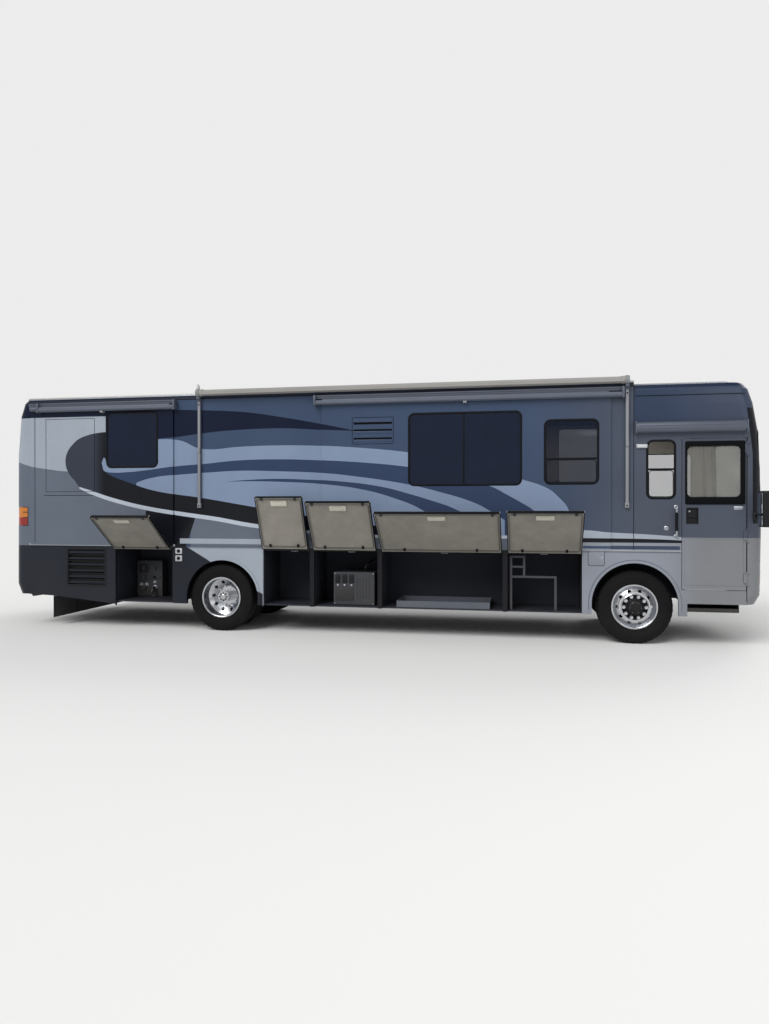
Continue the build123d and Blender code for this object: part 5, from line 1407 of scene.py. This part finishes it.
def build_grilles():
    for label, side in (("right", -1), ("left", 1)):
        frame_piece = Piece(f"side_grille_frame_{label}", black_trim)
        frame_piece.surround((-2.450, -1.827, 0.633, 1.177), side * HALF_WIDTH, side,
                             [(-0.012, -0.030), (-0.010, 0.003), (0.004, 0.006), (0.014, 0.005),
                              (0.016, -0.001)], 0.018, 4)
        frame_piece.done()
        start = (-2.1385, side * (HALF_WIDTH - 0.018), 0.668)
        louvres(f"side_louvres_{label}", ROOT, start, 11, 0.0475, 0.610, 0.030, 0.005,
                (side * math.radians(32), 0, 0), deep_black)
        mesh_back = Piece(f"side_grille_bars_{label}", black_trim)
        for k in range(5):
            z = 0.716 + 0.095 * k
            mesh_back.block(-2.440, -1.837, side * (HALF_WIDTH - 0.006), side * (HALF_WIDTH + 0.001), z - 0.004,
                            z + 0.004, 0.0015)
        mesh_back.done()
    vent = Piece("fridge_vent_frame", body_paint, deep_black)
    y = -(HALF_WIDTH + ROOM_PROUD)
    # Black blocks behind the slots: painted shade in the vent openings
    for z in (2.754, 2.871, 2.988):
        vent.use(1).block(2.010, 2.556, y + 0.0118, y + 0.003, z - 0.0245, z + 0.0245, 0.0)
        cover = (z + 0.004, z + 0.036) if z > 2.9 else (z - 0.036, z - 0.002)
        vent.use(0).block(2.002, 2.564, y + 0.002, y - 0.006, *cover, 0.004)
    vent.use(1).surround((1.990, 2.576, 2.690, 3.060), y, -1,
                         [(-0.003, -0.001), (-0.003, 0.0015), (0.003, 0.0015), (0.003, -0.001)], 0.02, 4)
    vent.done()


# Seats: crown and channels of the cushions, and how far their sides pull in
CUSHION_CUTS = 14
CROWN = 0.020
SIDE_PULL = 0.030
CHANNELS = 4
CHANNEL_DEPTH = 0.006


def padded_shell(name, x0, x1, y0, y1, z0, z1):
    """A cushion with crowned faces, sides drawn in between its corners and stitched channels."""
    piece = Piece(name, seat_leather)
    bm = piece.mesh
    cx, cy, cz = (x0 + x1) / 2, (y0 + y1) / 2, (z0 + z1) / 2
    hx, hy, hz = (x1 - x0) / 2, (y1 - y0) / 2, (z1 - z0) / 2
    bmesh.ops.create_cube(bm, size=2.0)
    bmesh.ops.subdivide_edges(bm, edges=bm.edges[:], cuts=CUSHION_CUTS, use_grid_fill=True)
    radius = min(hx, hy, hz) * 0.55
    for vert in bm.verts:
        u, v, w = vert.co
        p = Vector((u * hx, v * hy, w * hz))
        core = Vector((max(-hx + radius, min(hx - radius, p.x)), max(-hy + radius, min(hy - radius, p.y)),
                       max(-hz + radius, min(hz - radius, p.z))))
        away = p - core
        if away.length > radius:
            p = core + away.normalized() * radius
        p.x *= 1 - SIDE_PULL * math.cos(math.pi * v / 2) * abs(u) ** 4
        p.y *= 1 - SIDE_PULL * math.cos(math.pi * u / 2) * abs(v) ** 4
        if w > 0:
            if abs(u) < 1 and abs(v) < 1:
                p.z += CROWN * math.cos(math.pi * u / 2) ** 0.7 * math.cos(math.pi * v / 2) ** 0.7 * w
            phase = (v * 0.5 + 0.5) * CHANNELS
            if 0.3 < phase < CHANNELS - 0.3:
                p.z -= CHANNEL_DEPTH * max(0.0, 1 - abs(phase - round(phase)) * 9) * w
        vert.co = p
    bmesh.ops.transform(bm, matrix=Matrix.Translation(at(cx, cy, cz)), verts=bm.verts)
    return piece


def build_seats():
    """Two captain's chairs: cushion, back and armrests on a pedestal."""
    x, z = 6.210, SILL_Z + 0.300
    for label, y in (("driver", 0.56), ("passenger", -0.56)):
        cushion = padded_shell(f"{label}_cushion", x - 0.250, x + 0.250, y - 0.250, y + 0.250, z + 0.012, z + 0.128)
        cushion = cushion.done(slot="seat_leather", smooth=80)
        back = padded_shell(f"{label}_back", -0.330, 0.330, y - 0.240, y + 0.240, -0.055, 0.055)
        # The back is shaped lying down, then stood up behind the cushion
        stand = (Matrix.Translation(at(x - 0.238, 0, z + 0.445)) @ Matrix.Rotation(math.radians(90), 4, "Y")
                 @ Matrix.Translation(-at(0, 0, 0)))
        bmesh.ops.transform(back.mesh, matrix=stand, verts=back.mesh.verts)
        back = back.done(slot="seat_leather", smooth=80)
        frame_piece = Piece(f"{label}_chair_frame", black_trim, steel_black)
        frame_piece.use(1).lathe((x, y, SILL_Z), "z", [(0.001, 0.150), (0.012, 0.148), (0.020, 0.110),
                                                       (0.200, 0.105), (0.250, 0.120), (0.300, 0.125),
                                                       (0.305, 0.020)], 28)
        frame_piece.block(x - 0.210, x + 0.230, y - 0.215, y + 0.215, z, z + 0.020, 0.008)
        for side in (-1, 1):
            frame_piece.use(0).block(x - 0.200, x + 0.140, y + side * 0.2585, y + side * 0.300, z + 0.235, z + 0.285,
                                     0.018)
            frame_piece.use(1).block(x - 0.230, x - 0.190, y + side * 0.250, y + side * 0.275, z + 0.060, z + 0.270,
                                     0.008)
        frame_piece.done(slot="seat_leather", replaces=("cab_seats",) if label == "driver" else ())


def build_bay_fittings():
    """Valves, vents, straps and pipes on the fittings inside the open bays."""
    y = -1.150
    case = Piece("equipment_case_trim", anodised, black_trim, dark_metal)
    x0 = 1.681
    case.use(1)
    for k in range(3):
        case.block(x0 + 0.030 + 0.10 * k, x0 + 0.100 + 0.10 * k, y + 0.001, y - 0.010, 0.730, 0.850, 0.006)
    case.use(2).block(x0 + 0.030, x0 + 0.300, y + 0.001, y - 0.006, 0.480, 0.690, 0.004)
    for k in range(3):
        case.use(0).lathe((x0 + 0.065 + 0.10 * k, y, 0.700), "y",
                          [(0.001, 0.014), (-0.012, 0.014), (-0.015, 0.010), (-0.015, 0.003)], 18)
    for x in (x0 + 0.02, x0 + 0.58):
        for z in (0.44, 0.865):
            case.lathe((x, y, z), "y", [(0.001, 0.009), (-0.005, 0.008), (-0.006, 0.003)], 12)
    case.use(2).tube([(x0 + 0.45, y + 0.06, 0.885), (x0 + 0.45, y + 0.06, 0.95), (x0 + 0.47, y + 0.10, 1.00),
                      (x0 + 0.47, -0.60, 1.03)], 0.014, 10)
    case.done()
    panel = Piece("service_panel_trim", bay_gear_shaded, black_trim, anodised, dark_metal)
    x0, y = -1.611, -0.700
    panel.use(0).block(x0 - 0.002, x0 + 0.422, y - 0.001, y - 0.014, 0.425, 0.965, 0.006)
    for k in range(5):
        z = 0.80 + 0.028 * k
        panel.use(1).block(x0 + 0.03, x0 + 0.20, y - 0.012, y - 0.018, z - 0.008, z + 0.008, 0.002)
    panel.use(0).block(x0 + 0.230, x0 + 0.390, y - 0.012, y - 0.030, 0.700, 0.740, 0.006)
    for px, pz, r in ((x0 + 0.07, 0.60, 0.022), (x0 + 0.16, 0.60, 0.022), (x0 + 0.30, 0.56, 0.030),
                      (x0 + 0.30, 0.64, 0.018)):
        panel.use(2).lathe((px, y - 0.012, pz), "y", [(0.001, r + 0.008), (-0.004, r + 0.008), (-0.006, r),
                                                      (-0.030, r), (-0.032, r * 0.7), (-0.032, 0.004)], 20)
    panel.use(3).tube([(x0 + 0.30, y - 0.03, 0.56), (x0 + 0.30, y - 0.09, 0.54), (x0 + 0.30, y - 0.11, 0.49),
                       (x0 + 0.30, y - 0.11, 0.43)], 0.026, 12)
    panel.done()
    lamps_piece = Piece("bay_lamps", light_plastic, clear_lens)
    for x in (1.018, 1.888, 3.240, 4.624):
        lamps_piece.use(0).block(x - 0.060, x + 0.060, -0.900, -0.860, 1.160, 1.1815, 0.006)
        lamps_piece.use(1).block(x - 0.052, x + 0.052, -0.896, -0.864, 1.150, 1.166, 0.006)
    lamps_piece.done()


def build_underside():
    """Exhaust, brake chambers, dampers, air tanks and pipes that show from below."""
    pipes = Piece("exhaust", dark_metal)
    pipes.lathe((0, -0.62, 0.640), "x", [(-2.95, 0.04), (-2.94, 0.10), (-2.92, 0.115), (-2.30, 0.115), (-2.28, 0.10),
                                         (-2.27, 0.04)], 28)
    pipes.tube([(-2.94, -0.62, 0.64), (-3.05, -0.63, 0.62), (-3.18, -0.68, 0.52), (-3.30, -0.72, 0.44),
                (-3.43, -0.73, 0.42)], 0.045, 16)
    pipes.tube([(-2.28, -0.62, 0.64), (-2.20, -0.55, 0.66), (-2.12, -0.45, 0.72), (-2.06, -0.30, 0.78)], 0.045, 14)
    pipes.done()
    air = Piece("air_tanks", steel_black, anodised)
    for y in (-0.16, 0.16):
        air.use(0).lathe((0, y, 0.560), "x", [(4.62, 0.02), (4.63, 0.09), (4.67, 0.115), (5.15, 0.115), (5.19, 0.09),
                                              (5.20, 0.02)], 24)
        for x in (4.76, 5.03):
            air.use(1).lathe((x, y, 0.560), "x", [(0.0, 0.114), (0.0, 0.118), (0.03, 0.118), (0.03, 0.114)], 24,
                             ring=True)
    air.done()
    brakes = Piece("axle_brakes", cast_metal, steel_black, black_rubber)
    for x, reach in ((0.0, 0.46), (WHEELBASE, 0.66)):
        for side in (-1, 1):
            chamber_x = x - 0.20 if x == 0.0 else x - 0.16
            brakes.use(1).lathe((chamber_x, side * reach, 0.60), "x",
                                [(-0.09, 0.02), (-0.085, 0.062), (-0.03, 0.078), (-0.02, 0.086), (-0.005, 0.086),
                                 (0.005, 0.078), (0.05, 0.060), (0.055, 0.02)], 24)
            brakes.use(0).tube([(chamber_x + 0.05, side * reach, 0.60), (x - 0.02, side * reach, 0.56)], 0.014, 10)
            brakes.block(x - 0.035, x + 0.035, side * reach - side * 0.02, side * reach + side * 0.02, 0.50, 0.62,
                         0.01)
            brakes.use(2).tube([(x + 0.30, side * 0.33, 0.62), (x + 0.30, side * 0.33, 0.95)], 0.038, 14)
            brakes.use(1).tube([(x + 0.30, side * 0.33, 0.45), (x + 0.30, side * 0.33, 0.64)], 0.030, 14)
    brakes.done()


def build_flap_and_step():
    tread = Piece("step_tread", black_rubber, steel_black)
    x0, x1 = 6.406, 7.073
    for k in range(9):
        x = x0 + 0.055 + 0.068 * k
        tread.block(x, x + 0.040, -1.190, -0.960, 0.4995, 0.505, 0.002)
    tread.use(1).block(x0 + 0.012, x1 - 0.012, -1.212, -1.222, 0.452, 0.500, 0.004)
    tread.block(x0 + 0.014, x1 - 0.014, -0.950, -0.930, 0.500, 0.566, 0.004)
    tread.done()
    flap = Piece("mud_flap_trim", black_rubber, anodised)
    for y in (-1.18, -0.60, 0.60, 1.18):
        flap.block(-2.747, -2.732, y - 0.012, y + 0.012, 0.13, 0.46, 0.003)
    flap.use(1).block(-2.734, -2.729, -1.19, 1.19, 0.438, 0.468, 0.001)
    flap.done()


build_windows()
build_entry_door()
build_grab_handle()
build_side_hatches()
build_mouldings()
build_awnings()
build_tyres()
build_wheel_details()
build_bay_doors()
build_lamps()
build_mirrors()
build_nose()
build_tail()
build_grilles()
build_seats()
build_bay_fittings()
build_underside()
build_flap_and_step()


# Stage: pale floor and background
floor_material, _, floor_shader = blank_material("pale_floor")
floor_shader.inputs["Base Color"].default_value = rgb(233, 233, 232)
floor_shader.inputs["Roughness"].default_value = 1.0
floor_shader.inputs["Specular IOR Level"].default_value = 0.0
bpy.ops.mesh.primitive_plane_add(size=1200, location=(0, 0, 0))
floor = bpy.context.object
floor.name = "stage_floor"
floor.data.materials.append(floor_material)

world = bpy.data.worlds.new("studio")
bpy.context.scene.world = world
world.use_nodes = True
world_tree = world.node_tree
backdrop = world_tree.nodes["Background"]
rays = world_tree.nodes.new("ShaderNodeLightPath")
seen = math_node(world_tree, "MAXIMUM", rays.outputs["Is Camera Ray"], rays.outputs["Is Transmission Ray"])
backdrop.inputs["Color"].default_value = (1.0, 1.0, 1.0, 1)
world_tree.links.new(spread(world_tree, seen, 0.0, 1.0, 0.48, 0.84), backdrop.inputs["Strength"])


def soft_light(name, place, aim, size, power):
    data = bpy.data.lights.new(name, "AREA")
    data.shape = "RECTANGLE"
    data.size, data.size_y = size
    data.energy = power
    lamp = add_object(name, data)
    lamp.location = place
    lamp.rotation_euler = (Vector(aim) - Vector(place)).to_track_quat("-Z", "Y").to_euler()


def wide_light(name, towards, strength, spread_degrees):
    """Even light from far away over a wide angle, so that the floor has one tone to the horizon."""
    data = bpy.data.lights.new(name, "SUN")
    data.energy = strength
    data.angle = math.radians(spread_degrees)
    lamp = add_object(name, data)
    lamp.rotation_euler = Vector(towards).to_track_quat("-Z", "Y").to_euler()


wide_light("key", (0.45, 1.0, -0.95), 2.0, 34)
wide_light("rim", (-0.5, -1.0, -0.9), 0.7, 30)
soft_light("cabin", at(5.9, 0, 3.15), at(5.9, 0, 1.2), (1.2, 0.8), 22)
soft_light("fill", at(12, -10, 7), at(3, 0, 1.5), (8, 5), 180)

camera_data = bpy.data.cameras.new("view")
camera_data.sensor_width = 36
camera_data.lens = LENS
camera_data.clip_end = 300
camera = add_object("view", camera_data)
camera.location = CAMERA_PLACE
camera.rotation_euler = (math.radians(90 + CAMERA_PITCH), 0, math.radians(CAMERA_TURN))
bpy.context.scene.camera = camera
bpy.context.scene.view_settings.view_transform = "Standard"

bpy.context.view_layer.update()
